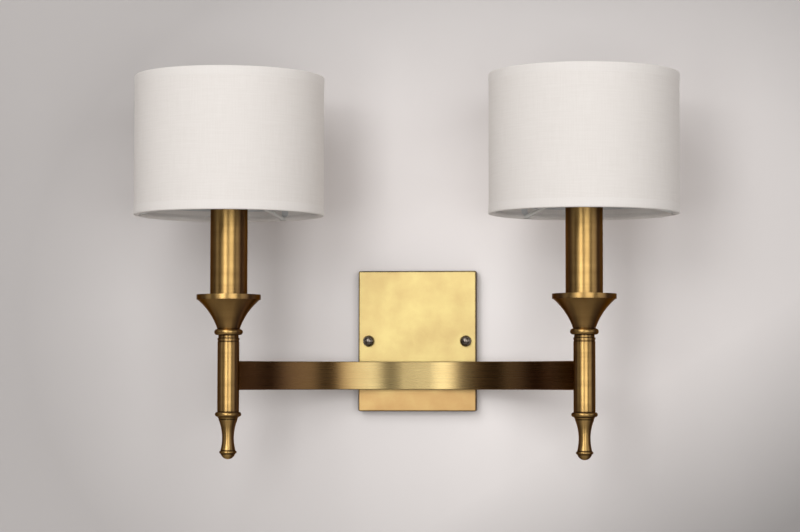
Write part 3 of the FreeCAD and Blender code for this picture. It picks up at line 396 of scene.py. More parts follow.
tree, given, put = new_effect(
    "woven_linen",
    {"Cloth": ("vector", None), "Thread Pitch": ("value", 0.00055), "Slub Length": ("value", 0.025)},
    ["Height", "Slub"],
)
u, v, _ = split(tree, given["Cloth"])
thread = over(tree, math.pi, given["Thread Pitch"])
across = calc(tree, "SINE", times(tree, u, thread))
upright = calc(tree, "SINE", times(tree, v, thread))
weave = calc(tree, "MULTIPLY_ADD", times(tree, across, upright), 0.5, 0.5)
stretch = over(tree, 1.0, given["Slub Length"])
cross = over(tree, SLUBS_A_THREAD, given["Thread Pitch"])
warp = noise(tree, join(tree, times(tree, u, cross), times(tree, v, stretch), 0.0), 1.0, 2.0, 0.5)
weft = noise(tree, join(tree, times(tree, u, stretch), times(tree, v, cross), 7.0), 1.0, 2.0, 0.5)
slub = times(tree, plus(tree, warp, weft), 0.5)
feed(tree, put["Slub"], fit(tree, slub, 0.3, 0.7, 0.0, 1.0))
feed(tree, put["Height"], plus(tree, times(tree, weave, WEAVE_SHARE), slub))
woven_linen = tree
print("effect", woven_linen.name)

# %% [markdown]
# ### Coated skin
# Powder coat and moulded plastic are both smooth from afar and finely dimpled close to, like the skin
# of an orange. One noise at the right size does for both, and a coarser one for the wall's plaster.

# %% Coated skin
tree, given, put = new_effect(
    "coated_skin", {"Coordinates": ("vector", None), "Dimple": ("value", 0.0006)}, ["Height"],
)
feed(tree, put["Height"], noise(tree, given["Coordinates"], over(tree, 1.0, given["Dimple"]), 2.0, 0.5))
coated_skin = tree
print("effect", coated_skin.name)

# %% [markdown]
# ## Finishes
# A finish starts from one Principled shader and the object's own coordinates, in metres. Numbers that
# are the same all over are typed into the shader, and only what varies over the surface is linked.

# %% Helpers for a finish
def new_finish(name, **plain):
    """A material with one Principled shader, and the object's coordinates to feed its effects."""
    material = bpy.data.materials.new(name)
    material.use_nodes = True
    tree = material.node_tree
    shader = next(made for made in tree.nodes if made.type == "BSDF_PRINCIPLED")
    for socket, value in plain.items():
        shader.inputs[socket.replace("_", " ")].default_value = value
    coordinates = add(tree, "ShaderNodeTexCoord").outputs["Object"]
    return material, tree, shader.inputs, coordinates


def surface(tree, shader, colour, roughness, height, strength, depth):
    """Give the shader what varies over the surface: colour, roughness and a relief in metres."""
    relief = add(tree, "ShaderNodeBump", Height=height, Strength=strength, Distance=depth).outputs[0]
    for socket, value in (("Base Color", colour), ("Roughness", roughness), ("Normal", relief)):
        feed(tree, shader[socket], value)


# %% [markdown]
# ### Antique brass
# The three brass finishes share one colour recipe: rubbed-back brass, darkened where the patina clouds
# gather, and darker still in the flecks and recesses. The metal under the patina gives back only a
# third to a half of the light, so it looks gold where it mirrors a lamp and brown where it mirrors the
# room. Fine parallel scratches smear a highlight across themselves and leave it sharp along
# themselves. The shader's own anisotropy does that: its tangent runs level, as the scratches do. The
# plate is only buffed, so it is lighter and has no direction, and its sharp edge is painted brown,
# partly as patina and partly as painted shade.

# %% Antique brass
RUBBED_BRASS = (0.372, 0.288, 0.130, 1)
AGED_BRASS_AND_SHADE = (0.200, 0.112, 0.040, 1)
DARK_FLECK = (0.080, 0.044, 0.018, 1)
PAINTED_SHADE_BROWN = (0.078, 0.038, 0.020, 1)
RECESS_BROWN = (0.060, 0.034, 0.014, 1)
BARE_EDGE = (0.500, 0.365, 0.170, 1)
BROWN_GRAZE = (0.55, 0.43, 0.34, 1)
FLECK_SIZE, FLECK_SHARE = 0.0011, 0.12
LEVEL_SCRATCHES = {
    "Metallic": 1.0, "Anisotropic": 0.6, "Anisotropic_Rotation": 0.25, "Specular_Tint": BROWN_GRAZE,
}
SCRATCH_DEPTH = 0.03 * MM
WORN_SPECKS = 300.0                         # how finely the wear along an edge is broken up
ALMOST_UPRIGHT = (0.0, 0.15, 1.0)           # it leans, so that a level face has a direction too


def brass_colour(tree, here, cloud_size, aged_share, wear, rubbed, edge=BARE_EDGE, old=AGED_BRASS_AND_SHADE):
    """The colour of antique brass, and its cloud; wear is the width and the share of the worn edge."""
    aged = effect(tree, patina, Coordinates=here, Cloud_Size=cloud_size, Fleck_Size=FLECK_SIZE)
    worn = effect(tree, edge_wear, Coordinates=here, Width=wear[0], Break_Up=WORN_SPECKS)["Worn"]
    colour = tint(tree, rubbed, old, aged["Cloud"], aged_share)
    colour = tint(tree, colour, DARK_FLECK, aged["Fleck"], FLECK_SHARE)
    return tint(tree, colour, edge, worn, wear[1]), aged["Cloud"]


def smear_upright(tree, shader):
    """Smear highlights up and down: the scratches run level, across the normal and the upright."""
    normal = add(tree, "ShaderNodeNewGeometry").outputs["Normal"]
    feed(tree, shader["Tangent"], vector_calc(tree, "CROSS_PRODUCT", normal, ALMOST_UPRIGHT)[0])


# %% [markdown]
# #### The arm
# The arm is painted brightest at its middle, over the plate. From there it is painted to aged brass and
# then to deep brown, which only depends on how far a point lies to the side: painted dark reflection,
# where the bowed arm turns away from the lamps and mirrors the dim room.

# %% Brass of the arm, brushed along its length
# Painted dark reflection: the arm's colour darkens with distance to the side of this spot.
LEAST_SHADED_X = -0.008
ARM_SHADE_START, ARM_SHADE_FULL = 0.034, 0.066    # metres to the side at which the aged brass begins and is full
ARM_DEEP_SHADE_START, ARM_DEEP_SHADE_FULL = 0.045, 0.118

brushed_brass, tree, shader, here = new_finish("brushed_brass", **LEVEL_SCRATCHES)
colour, cloud = brass_colour(tree, here, 0.05, 0.3, (0.5 * MM, 0.5), RUBBED_BRASS)
# Painted dark reflection towards the ends: aged brass, then deep brown.
from_middle = size_of(tree, minus(tree, split(tree, here)[0], LEAST_SHADED_X))
colour = tint(tree, colour, AGED_BRASS_AND_SHADE, from_middle, 0.9, ARM_SHADE_START, ARM_SHADE_FULL)
deep = times(tree, fit(tree, from_middle, ARM_DEEP_SHADE_START, ARM_DEEP_SHADE_FULL, 0.0, 0.97), spread(tree, cloud, 0.85, 1.0))
colour = blend_colours(tree, deep, colour, PAINTED_SHADE_BROWN)
grain = effect(
    tree, brushed_grain, Coordinates=here, Stretch=(9.0, 9.0, 2600.0), Broad=(4.0, 4.0, 1100.0),
)
colour = tint(tree, colour, AGED_BRASS_AND_SHADE, grain["Streak"], 0.10, 0.4, 0.75)
dullness = plus(tree, spread(tree, cloud, 0.25, 0.27), fit(tree, grain["Streak"], 0.3, 0.7, 0.0, 0.03))
surface(tree, shader, colour, dullness, grain["Height"], 0.07, SCRATCH_DEPTH)
smear_upright(tree, shader)

# %% [markdown]
# #### The turned pieces
# Columns, cups, collars and candle tubes share one finish, which reads the height to know where it is:
# the cups are painted browner than the rest, as painted shade where their flared faces turn down and
# mirror the dim room, and the finest rings are dark lines and not steps, because they are narrower
# than half a millimetre.

# %% Brass of the turned pieces
TURNED_GOLD = (0.560, 0.362, 0.130, 1)
# The cup colour is painted shade, where the flared cups face down.
CUP_PAINTED_SHADE = (0.190, 0.102, 0.036, 1)
SCORE_LINES = [height * MM for height in (3.6, 1.0, -1.9, -63.2, -67.5, -69.6, -96.9, -99.7)]
SCORE_CORE, SCORE_EDGE = 0.35 * MM, 0.75 * MM
CUP_SHADE_LOW = (-0.5 * MM, 2 * MM)     # where the cup's brown begins and is full, from the cup's foot
CUP_SHADE_HIGH = (-5 * MM, -3 * MM)     # where it weakens and has gone, from the cup's rim


def scored(tree, height, lines):
    """A mask of thin rings cut round a turned piece, where the dark finish has stayed."""
    mask = 0.0
    for line in lines:
        off = size_of(tree, minus(tree, height, line))
        mask = calc(tree, "MAXIMUM", mask, fit(tree, off, SCORE_CORE, SCORE_EDGE, 1.0, 0.0))
    return mask


turned_brass, tree, shader, here = new_finish("turned_brass", **LEVEL_SCRATCHES)
colour, cloud = brass_colour(tree, here, 0.03, 0.4, (0.5 * MM, 0.5), TURNED_GOLD)
recess = effect(tree, dark_recess, Reach=0.003)["Recess"]
colour = tint(tree, colour, RECESS_BROWN, recess, 0.75)
height = split(tree, here)[2]
cup_low, cup_high = (corner.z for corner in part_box("drip_cup_left"))
over_foot = fit(tree, height, cup_low + CUP_SHADE_LOW[0], cup_low + CUP_SHADE_LOW[1], 0.0, 1.0)
under_rim = fit(tree, height, cup_high + CUP_SHADE_HIGH[0], cup_high + CUP_SHADE_HIGH[1], 1.0, 0.0)
# Painted shade on the cups.
colour = tint(tree, colour, CUP_PAINTED_SHADE, times(tree, over_foot, under_rim), 0.55)
grain = effect(tree, turned_grain, Coordinates=here, Marks=1700.0)
colour = tint(tree, colour, AGED_BRASS_AND_SHADE, grain["Band"], 0.3, 0.45, 0.7)
# Painted shade: the two sides of each turned piece are painted dark brown.
colour = tint(tree, colour, PAINTED_SHADE_BROWN, grain["Side"], 0.92)
colour = tint(tree, colour, RECESS_BROWN, scored(tree, height, SCORE_LINES), 0.95)
surface(tree, shader, colour, spread(tree, cloud, 0.33, 0.36), grain["Height"], 0.08, SCRATCH_DEPTH)
smear_upright(tree, shader)

# %% [markdown]
# #### The plate
# The plate is a pressed pan, buffed to a pale gold, and painted a little browner below the arm as
# painted shade under it. Its thin rim is painted dark, partly a darker patina and partly painted
# shade where the edge turns away from the lamps; a mask gives it that measures how far a point lies
# in from the nearest edge.

# %% Brass of the pressed plate
PLATE_GOLD = (0.612, 0.500, 0.212, 1)
# The lower colour is painted shade under the arm.
PLATE_UNDER_ARM_SHADE = (0.490, 0.302, 0.125, 1)
PLATE_CLOUD = (0.545, 0.385, 0.170, 1)
# The rim colour is partly patina and partly painted shade.
RIM_PATINA_AND_SHADE = (0.060, 0.034, 0.016, 1)
UNDER_ARM_SHADE_FULL, UNDER_ARM_SHADE_START = -0.048, -0.030    # heights between which the browner lower part sets in
RIM_FULL, RIM_GONE = 0.6 * MM, 1.3 * MM


def in_from_edge(tree, place, low, high):
    """How far a place on an axis lies inside the nearer of two ends."""
    return minus(tree, (high - low) / 2, size_of(tree, minus(tree, place, (high + low) / 2)))


plate_brass, tree, shader, here = new_finish("plate_brass", Metallic=1.0)
colour, cloud = brass_colour(tree, here, 0.022, 0.7, (2 * MM, 1.0), PLATE_GOLD, RIM_PATINA_AND_SHADE, PLATE_CLOUD)
x, _, z = split(tree, here)
# Painted shade: the plate turns browner below the arm.
lower = times(tree, fit(tree, z, UNDER_ARM_SHADE_FULL, UNDER_ARM_SHADE_START, 1.0, 0.0), spread(tree, cloud, 0.7, 1.0))
colour = blend_colours(tree, lower, colour, PLATE_UNDER_ARM_SHADE)
grain = effect(
    tree, brushed_grain, Coordinates=here, Stretch=(900.0, 900.0, 900.0), Broad=(22.0, 22.0, 30.0),
)
colour = tint(tree, colour, AGED_BRASS_AND_SHADE, grain["Streak"], 0.08, 0.42, 0.72)
plate_low, plate_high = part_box("backplate")
inside = calc(
    tree, "MINIMUM",
    in_from_edge(tree, x, plate_low.x, plate_high.x), in_from_edge(tree, z, plate_low.z, plate_high.z),
)
# Painted shade and patina along the plate's thin rim.
colour = blend_colours(tree, fit(tree, inside, RIM_FULL, RIM_GONE, 0.92, 0.0), colour, RIM_PATINA_AND_SHADE)
surface(tree, shader, colour, spread(tree, cloud, 0.42, 0.48), grain["Height"], 0.1, 0.04 * MM)
print("brass finishes:", brushed_brass.name, turned_brass.name, plate_brass.name)

# %% [markdown]
# ### The other metals
# The domed nuts are gunmetal: dark, with a sharp highlight. Bracket, studs and nuts are zinc-plated
# steel, which is blotchy and grey. Plugs and contacts are plain unlacquered brass, and the bulb's
# screw cap is thin aluminium with fine turning marks. All four drift between two shades.

# %% Gunmetal, zinc, plain brass and aluminium
def clouded_metal(name, sizes, first, second, gloss, relief, strength, edge=None):
    """Metal that drifts between two shades. Its relief follows its Cloud, its Fleck or, as Height,
    turning marks, and a worn edge has its own colour, share and break-up."""
    material, tree, shader, here = new_finish(name, Metallic=1.0)
    aged = effect(tree, patina, Coordinates=here, Cloud_Size=sizes[0], Fleck_Size=sizes[1])
    marks = effect(tree, turned_grain, Coordinates=here, Marks=2500.0) if relief == "Height" else aged
    colour = blend_colours(tree, aged["Cloud"], first, second)
    if edge:
        bare, share, break_up = edge
        worn = effect(tree, edge_wear, Coordinates=here, Width=0.4 * MM, Break_Up=break_up)["Worn"]
        colour = tint(tree, colour, bare, worn, share)
    surface(tree, shader, colour, spread(tree, aged["Cloud"], *gloss), marks[relief], strength, 0.1 * MM)
    return material


gunmetal = clouded_metal(
    "gunmetal", (4 * MM, 0.5 * MM), (0.150, 0.128, 0.110, 1), (0.240, 0.210, 0.180, 1),
    (0.22, 0.32), "Cloud", 0.08, edge=((0.42, 0.31, 0.18, 1), 0.5, 600.0),
)
zinc_steel = clouded_metal(
    "zinc_steel", (6 * MM, 0.9 * MM), (0.50, 0.51, 0.53, 1), (0.66, 0.66, 0.66, 1),
    (0.28, 0.42), "Cloud", 0.1, edge=((0.80, 0.80, 0.80, 1), 0.6, 500.0),
)
plain_brass = clouded_metal(
    "plain_brass", (5 * MM, 0.8 * MM), (0.86, 0.66, 0.34, 1), (0.70, 0.48, 0.22, 1),
    (0.2, 0.34), "Fleck", 0.1,
)
bulb_aluminium = clouded_metal(
    "bulb_aluminium", (5 * MM, 0.7 * MM), (0.58, 0.58, 0.59, 1), (0.48, 0.48, 0.49, 1),
    (0.32, 0.42), "Height", 0.2,
)
print("metals:", gunmetal.name, zinc_steel.name, plain_brass.name, bulb_aluminium.name)

# %% [markdown]
# ### Plastics, coated wire and glass
# The lampholder is black moulded resin with a slight sheen, and its rings are cream. The shade's wire
# is powder coated white. The bulb is etched inside, so it scatters light and keeps a soft gloss.

# %% Moulded resin, ring plastic, white wire, wire cover and frosted glass
DUST = (0.60, 0.57, 0.53, 1)


def coated(name, colour, second, gloss, dimple, dust_amount, depth=0.05 * MM, **plain):
    """A plain coloured skin with slight clouding, orange peel and dust."""
    material, tree, shader, here = new_finish(name, **plain)
    aged = effect(tree, patina, Coordinates=here, Cloud_Size=0.02, Fleck_Size=1 * MM)
    dust = effect(tree, settled_dust, Coordinates=here, Amount=dust_amount)["Dust"]
    tinted = blend_colours(tree, dust, blend_colours(tree, aged["Cloud"], colour, second), DUST)
    dullness = calc(tree, "ADD", spread(tree, aged["Cloud"], *gloss), dust, clamp=True)
    skin = effect(tree, coated_skin, Coordinates=here, Dimple=dimple)["Height"]
    surface(tree, shader, tinted, dullness, skin, 0.25, depth)
    return material


moulded_resin = coated(
    "moulded_resin", (0.022, 0.021, 0.020, 1), (0.035, 0.033, 0.031, 1), (0.30, 0.42), 0.7 * MM, 0.3,
)
ring_plastic = coated(
    "ring_plastic", (0.80, 0.77, 0.70, 1), (0.74, 0.70, 0.62, 1), (0.25, 0.35), 0.9 * MM, 0.25,
)
white_wire = coated(
    "white_wire", (0.80, 0.80, 0.78, 1), (0.74, 0.73, 0.70, 1), (0.28, 0.40), 0.5 * MM, 0.2,
)
wire_cover = coated(
    "wire_cover", (0.62, 0.60, 0.55, 1), (0.52, 0.50, 0.45, 1), (0.5, 0.65), 0.4 * MM, 0.0,
)
frosted_glass = coated(
    "frosted_glass", (0.92, 0.92, 0.90, 1), (0.90, 0.90, 0.88, 1), (0.22, 0.27), 0.3 * MM, 0.0,
    depth=0.008 * MM, Transmission_Weight=0.35, IOR=1.5,
)
skins = (moulded_resin, ring_plastic, white_wire, wire_cover, frosted_glass)
print("skins:", *(skin.name for skin in skins))

# %% [markdown]
# ### Linen and liner
# The drum is linen laminated to a thin white styrene sheet. Seen from outside it is cloth: matt, with
# a faint sheen, slubs that are a little darker or lighter, and a fine weave in the bump. Seen from
# inside it is smooth plastic, painted a cool grey darker than the white sheet: painted shade, because
# only light from the wall reaches it.

# %% Linen and liner
def linen(name, pale, deep, weave_strength):
    material, tree, shader, here = new_finish(name, Sheen_Weight=0.05, Sheen_Roughness=0.5)
    cloth = add(tree, "ShaderNodeUVMap", {"uv_map": "cloth"}).outputs[0]
    woven = effect(tree, woven_linen, Cloth=cloth)
    aged = effect(tree, patina, Coordinates=here, Cloud_Size=0.06, Fleck_Size=0.6 * MM)
    colour = tint(tree, blend_colours(tree, woven["Slub"], deep, pale), deep, aged["Cloud"], 0.12)
    dullness = spread(tree, woven["Slub"], 0.92, 0.8)
    surface(tree, shader, colour, dullness, woven["Height"], weave_strength, 0.2 * MM)
    return material


drum_linen = linen("drum_linen", (0.85, 0.815, 0.78, 1), (0.80, 0.762, 0.725, 1), 0.25)
hem_linen = linen("hem_linen", (0.86, 0.828, 0.795, 1), (0.82, 0.785, 0.75, 1), 0.2)
# The grey is painted shade inside the drum; the sheet itself is white.
styrene_liner = coated(
    "styrene_liner", (0.67, 0.68, 0.685, 1), (0.63, 0.635, 0.64, 1), (0.35, 0.45), 1.5 * MM, 0.0,
)
print("cloth:", drum_linen.name, hem_linen.name, styrene_liner.name)

# %% [markdown]
# ## Dress the solids that stay
# Most solids already have the right shape, so they only get a better finish. The table pairs each
# finish with the nodes that carry it, and the print shows that no node was missed.

# %% Give each node its finish
FINISH_OF = {
    plate_brass: ["backplate"],
    brushed_brass: ["arm"],
    turned_brass: [
        "column_tube", "upper_collar", "drip_cup", "drip_pan", "lower_collar", "finial", "candle_tube",
    ],
    gunmetal: ["cap_nuts"],
    zinc_steel: [
        "wall_bracket", "bracket_studs", "stud_lock_nuts", "arm_stem", "arm_lock_washer", "arm_nut",
        "lamp_stems", "lamp_stem_nuts", "finial_studs", "socket_strap", "socket_screws",
    ],
    plain_brass: [
        "ground_screw", "column_plugs_upper", "column_plugs_lower", "screw_shell", "centre_contact",
        "bulb_button",
    ],
    bulb_aluminium: ["bulb_base"],
    moulded_resin: ["lampholder"],
    ring_plastic: ["shade_rest_ring", "shade_clamp_ring"],
    drum_linen: ["shade_drum"],
    white_wire: ["shade_top_ring", "shade_hub", "shade_carrier"],
    frosted_glass: ["bulb_glass"],
    wire_cover: ["arm_wires"],
}

dressed = set()
for material, names in FINISH_OF.items():
    for name in names:
        for node in {name, *(f"{name}_{side}" for side in SIDES)} & set(frame["nodes"]):
            for slot in frame["nodes"][node].material_slots:
                slot.material = material
            dressed.add(node)
print("without a finish:", sorted(set(frame["nodes"]) - dressed))

# %% [markdown]
# ## Making pieces
# A few helpers make every new piece. One turns a list of points and faces into an object whose origin
# is the world's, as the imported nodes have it. Drums, hems and liners are nets of points, rolled round
# a column, so one helper places such a point, one lists the faces between the points, and one writes
# the UV map of a cloth. The last two turn modifiers into plain mesh and give a sheet its thickness,
# and keep its thin rims sharp, because smooth shading across them would show as a dark line.

# %% Helpers for pieces
BEND_KEPT_SHARP = math.radians(40)


def new_piece(name, material, points, faces, smooth=True):
    mesh = bpy.data.meshes.new(name)
    mesh.from_pydata([tuple(p) for p in points], [], faces)
    mesh.materials.append(material)
    for polygon in mesh.polygons:
        polygon.use_smooth = smooth
    mesh.update()
    return stand(name, mesh)


def rolled(side, radius, angle, height):
    """A point at this distance and angle round a column."""
    spot = COLUMN[side]
    return spot.x + radius * math.cos(angle), spot.y + radius * math.sin(angle), height


def on_axis(side, height):
    return COLUMN[side].x, COLUMN[side].y, height


def net(rows, columns, closed=False):
    """The row, the column and the corners of each face; a closed net ends where it began."""
    width = columns if closed else columns + 1
    for row in range(rows):
        for column in range(columns):
            beside = (column + 1) % width
            yield row, column, (
                row * width + column, row * width + beside,
                (row + 1) * width + beside, (row + 1) * width + column,
            )


def lay_cloth(piece, cloth):
    """The UV map in metres: one place on the flat cloth for each point."""
    layer = piece.data.uv_layers.new(name="cloth")
    for loop in piece.data.loops:
        layer.data[loop.index].uv = cloth[loop.vertex_index]


def arc(centre, radius, start, end, steps):
    """Points (radius, height) along part of a circle, by its angles in degrees."""
    found = []
    for step in range(steps + 1):
        angle = math.radians(start + (end - start) * step / steps)
        found.append((centre[0] + radius * math.cos(angle), centre[1] + radius * math.sin(angle)))
    return found


def finish_modifiers(piece):
    """Turn the piece's modifiers into plain mesh."""
    view = bpy.context.evaluated_depsgraph_get()
    mesh = bpy.data.meshes.new_from_object(
        piece.evaluated_get(view), preserve_all_data_layers=True, depsgraph=view,
    )
    piece.modifiers.clear()
    piece.data = mesh


def thicken(piece, thickness):
    wall = piece.modifiers.new("wall", "SOLIDIFY")
    wall.thickness = thickness
    wall.offset = -1.0
    wall.use_even_offset = True
    finish_modifiers(piece)
    piece.data.set_sharp_from_angle(angle=BEND_KEPT_SHARP)
    return piece


# %% [markdown]
# ## Smooth the round solids
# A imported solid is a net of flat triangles, and polished metal shows every one of them as a stripe.
# Each round solid, and the curved arm, is therefore stood in for by a copy of itself whose triangles
# are joined up and shaded smooth, with the true edges kept sharp. The copy has exactly the solid's
# shape and place.

# %% Smooth copies of the round solids
SHARP_ANGLE = math.radians(32)
TOUCHING = 0.002 * MM
SLOT_OF = {row["node"]: row["material_slot"] for row in frame["record"]["subparts"]}
BODY_OF = {node: body for body, nodes in frame["record"]["behaviour"]["bodies"].items() for node in nodes}


def smooth_copy(node):
    mesh = frame["nodes"][node].data.copy()
    joined = bmesh.new()
    joined.from_mesh(mesh)
    bmesh.ops.remove_doubles(joined, verts=joined.verts, dist=TOUCHING)
    joined.to_mesh(mesh)
    joined.free()
    if "custom_normal" in mesh.attributes:
        mesh.attributes.remove(mesh.attributes["custom_normal"])
    mesh.shade_smooth()
    mesh.set_sharp_from_angle(angle=SHARP_ANGLE)
    piece = stand(f"smooth_{node}", mesh)
    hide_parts(node)
    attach(piece, BODY_OF[node])


ROUND_PIECES = [
    "column_tube", "upper_collar", "drip_cup", "drip_pan", "lower_collar", "finial", "candle_tube",
    "lampholder", "screw_shell", "centre_contact", "shade_rest_ring", "shade_clamp_ring",
    "shade_top_ring", "shade_hub", "shade_carrier", "bulb_glass", "bulb_button", "arm_wires",
]
ROUND_NODES = ["arm", "cap_nuts", "arm_stem", "ground_screw"]
ROUND_NODES += [f"{name}_{side}" for name in ROUND_PIECES for side in SIDES]
for node in ROUND_NODES:
    smooth_copy(node)
print("smoothed:", len(ROUND_NODES), "of", len(frame["nodes"]))

# %% [markdown]
# ## The linen drum
# A drum shade is one strip of laminate, wrapped round two wire rings and glued to itself in an upright
# seam at the back. A closed tube would be quicker, but it would have no seam, so the strip is rolled:
# it goes once round and then overlaps its own start by a centimetre. The UV map is the strip laid
# flat, in metres, which keeps the weave square and at its true size.

# %% Roll the strip of linen
LAMINATE = 0.45 * MM
SEAM_OVERLAP = 0.010
LAP_RAMP = 0.004         # the stretch over which the strip's end climbs onto its start
LAP_RISE = 1.05          # how far it climbs, in thicknesses of the laminate
ROUND_STEPS = 288
SEAM_STEPS = 6
COVER_ROWS = 28
COVER_RADIUS = SHADE_RADIUS - 0.24 * MM
COVER_LOW, COVER_HIGH = SHADE_LOW + 0.8 * MM, SHADE_HIGH - 0.8 * MM
COVER_ROUND = 2 * math.pi * COVER_RADIUS
STRIP = (COVER_HIGH - COVER_LOW, COVER_ROUND + SEAM_OVERLAP)
BACK = math.pi / 2       # the seam is at the back, towards the wall
RIPPLE_SEED = {"left": 11, "right": 23}


def linen_cover(side):
    columns = ROUND_STEPS + SEAM_STEPS
    ripple = random.Random(RIPPLE_SEED[side])
    waves = [
        (ripple.uniform(0, math.tau), ripple.randint(2, 7), ripple.uniform(0.03, 0.10) * MM)
        for _ in range(5)
    ]
    points, cloth = [], []
    for row in range(COVER_ROWS + 1):
        rise = row / COVER_ROWS
        height = COVER_LOW + STRIP[0] * rise
        for column in range(columns + 1):
            along = STRIP[1] * column / columns
            angle = BACK + along / COVER_RADIUS
            lap = max(0.0, min(1.0, (along - COVER_ROUND + LAP_RAMP) / LAP_RAMP))
            climb = LAMINATE * LAP_RISE * lap * lap * (3 - 2 * lap)
            give = math.sin(math.pi * rise) * sum(
                size * math.sin(count * angle + phase) for phase, count, size in waves
            )
            points.append(rolled(side, COVER_RADIUS + climb + give, angle, height))
            cloth.append((along, height - COVER_LOW))
    faces = [corners for _, _, corners in net(COVER_ROWS, columns)]
    piece = new_piece(f"linen_drum_{side}", drum_linen, points, faces)
    lay_cloth(piece, cloth)
    return thicken(piece, LAMINATE)


covers = {side: linen_cover(side) for side in SIDES}
print("linen strip:", round(STRIP[1], 4), "by", round(STRIP[0], 4), "m")

# %% [markdown]
# ## Hems
# The raw edges and the wire rings are covered by a tape of the same linen: it lies eight millimetres
# up the outside, rolls over the ring and is glued down inside. In the photograph the two hems show
# as slightly paler bands. The outline of the tape is drawn once, for the top, and mirrored for the
# bottom, where it is notched for the three spokes.

# %% Roll the hems over the rings
TAPE = 0.22 * MM
TAPE_WIDTH = 8.0 * MM
WIRE_RADIUS = 1.5 * MM
RING_RADIUS = half_width("shade_top_ring_left") - WIRE_RADIUS
OVER_WIRE = WIRE_RADIUS + 0.6 * MM
HEM_CORNER = 0.9 * MM
NOTCH_HALF = 3.4 * MM
SPOKES = 3
SPOKE_RANGE = 0.07       # closer to the column than this, the carrier has only spokes
COINCIDENT = 0.001 * MM
INNER_POINTS = 5         # the last points of the outline, which lie on the inside of the drum


def tape_outline():
    """(radius, height below the shade's own edge) along the tape, from outside to inside."""
    track = [
        (COVER_RADIUS + 0.02 * MM, -TAPE_WIDTH), (COVER_RADIUS + 0.15 * MM, -TAPE_WIDTH * 0.7),
        (SHADE_RADIUS, -TAPE_WIDTH * 0.4), (SHADE_RADIUS, -1.8 * MM),
    ]
    track += arc((SHADE_RADIUS - HEM_CORNER, -HEM_CORNER), HEM_CORNER, 0, 90, 6)
    track += arc((RING_RADIUS - 0.45 * MM, -OVER_WIRE), OVER_WIRE, 90, 205, 8)
    inner = ((-1.2, -3.9), (0.1, -4.7), (1.05, -5.6), (1.2, -7.0), (1.2, -9.5))
    return track + [(RING_RADIUS + out * MM, drop * MM) for out, drop in inner]


def spoke_angles(side):
    """The angles of the three spokes, from the carrier's first point that can only be a spoke's."""
    spot = COLUMN[side]
    vertices = frame["nodes"][f"shade_carrier_{side}"].data.vertices
    arms = (Vector((vertex.co.x - spot.x, vertex.co.y - spot.y)) for vertex in vertices)
    spoke = next(arm for arm in arms if arm.length < SPOKE_RANGE)
    angle = math.atan2(spoke.y, spoke.x)
    first = math.atan2(math.sin(SPOKES * angle), math.cos(SPOKES * angle)) / SPOKES
    return [first + math.tau * step / SPOKES for step in range(SPOKES)]


def hem(side, top):
    track = tape_outline()
    spokes = spoke_angles(side)
    run = [0.0]
    for first, second in zip(track, track[1:]):
        run.append(run[-1] + math.dist(first, second))
    points, cloth = [], []
    for row, (radius, drop) in enumerate(track):
        height = SHADE_HIGH + drop if top else SHADE_LOW - drop
        for column in range(ROUND_STEPS + 1):
            turn = math.tau * column / ROUND_STEPS
            points.append(rolled(side, radius, BACK + turn, height))
            cloth.append((SHADE_RADIUS * turn, run[row]))
    faces = []
    for row, column, corners in net(len(track) - 1, ROUND_STEPS):
        inside = track[row][0] < RING_RADIUS + 0.2 * MM or row >= len(track) - INNER_POINTS
        angle = BACK + math.tau * (column + 0.5) / ROUND_STEPS
        gap = min(abs(math.remainder(angle - spoke, math.tau)) for spoke in spokes) * RING_RADIUS
        if top or not inside or gap >= NOTCH_HALF:
            faces.append(corners if top else corners[::-1])
    piece = new_piece(f"linen_hem_{'upper' if top else 'lower'}_{side}", hem_linen, points, faces)
    lay_cloth(piece, cloth)
    merge = bmesh.new()
    merge.from_mesh(piece.data)
    bmesh.ops.remove_doubles(merge, verts=merge.verts, dist=COINCIDENT)
    bmesh.ops.delete(merge, geom=[v for v in merge.verts if not v.link_faces], context="VERTS")
    merge.to_mesh(piece.data)
    merge.free()
    return thicken(piece, TAPE)


hems = {side: [hem(side, True), hem(side, False)] for side in SIDES}
print("spokes at", {side: [round(math.degrees(a)) % 360 for a in spoke_angles(side)] for side in SIDES})

# %% [markdown]
# ## The liner
# Inside the linen is a thin sheet that stiffens it. It is its own piece, a hair inside the cloth,
# because it is smooth plastic and not cloth, and shows as the inner wall from below.

# %% Line the drum
LINER = 0.3 * MM
LINER_RADIUS = COVER_RADIUS - LAMINATE - 0.02 * MM
LINER_LOW, LINER_HIGH = COVER_LOW + 0.5 * MM, COVER_HIGH - 0.5 * MM
LINER_ROWS = 6


def liner(side):
    points = []
    for row in range(LINER_ROWS + 1):
        height = LINER_LOW + (LINER_HIGH - LINER_LOW) * row / LINER_ROWS
        for column in range(ROUND_STEPS):
            points.append(rolled(side, LINER_RADIUS, math.tau * column / ROUND_STEPS, height))
    faces = [corners for _, _, corners in net(LINER_ROWS, ROUND_STEPS, closed=True)]
    return thicken(new_piece(f"shade_liner_{side}", styrene_liner, points, faces), LINER)


liners = {side: liner(side) for side in SIDES}
for side in SIDES:
    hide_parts(f"shade_drum_{side}")
    for piece in (covers[side], liners[side], *hems[side]):
        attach(piece, f"shade_{side}")
print("liner radius", round(LINER_RADIUS, 4))

# %% [markdown]
# ## Threads, ribs and weld beads
# Some small forms repeat or follow a path by a rule: a screw thread climbs one pitch a turn, a ring nut
# has ribs all round for the fingers, and each spoke ends in a bead of weld. Geometry Nodes fit that.
# Each tree below has its sizes as named inputs, and the helper fills them in, turns the result into
# plain mesh and takes the modifier away, so that the piece can ride like any other.

# %% Helpers for Geometry Nodes
TREE_SOCKETS = {
    "length": "NodeSocketFloat", "count": "NodeSocketInt", "spot": "NodeSocketVector",
    "finish": "NodeSocketMaterial",
}
ORIGIN = (0.0, 0.0, 0.0)


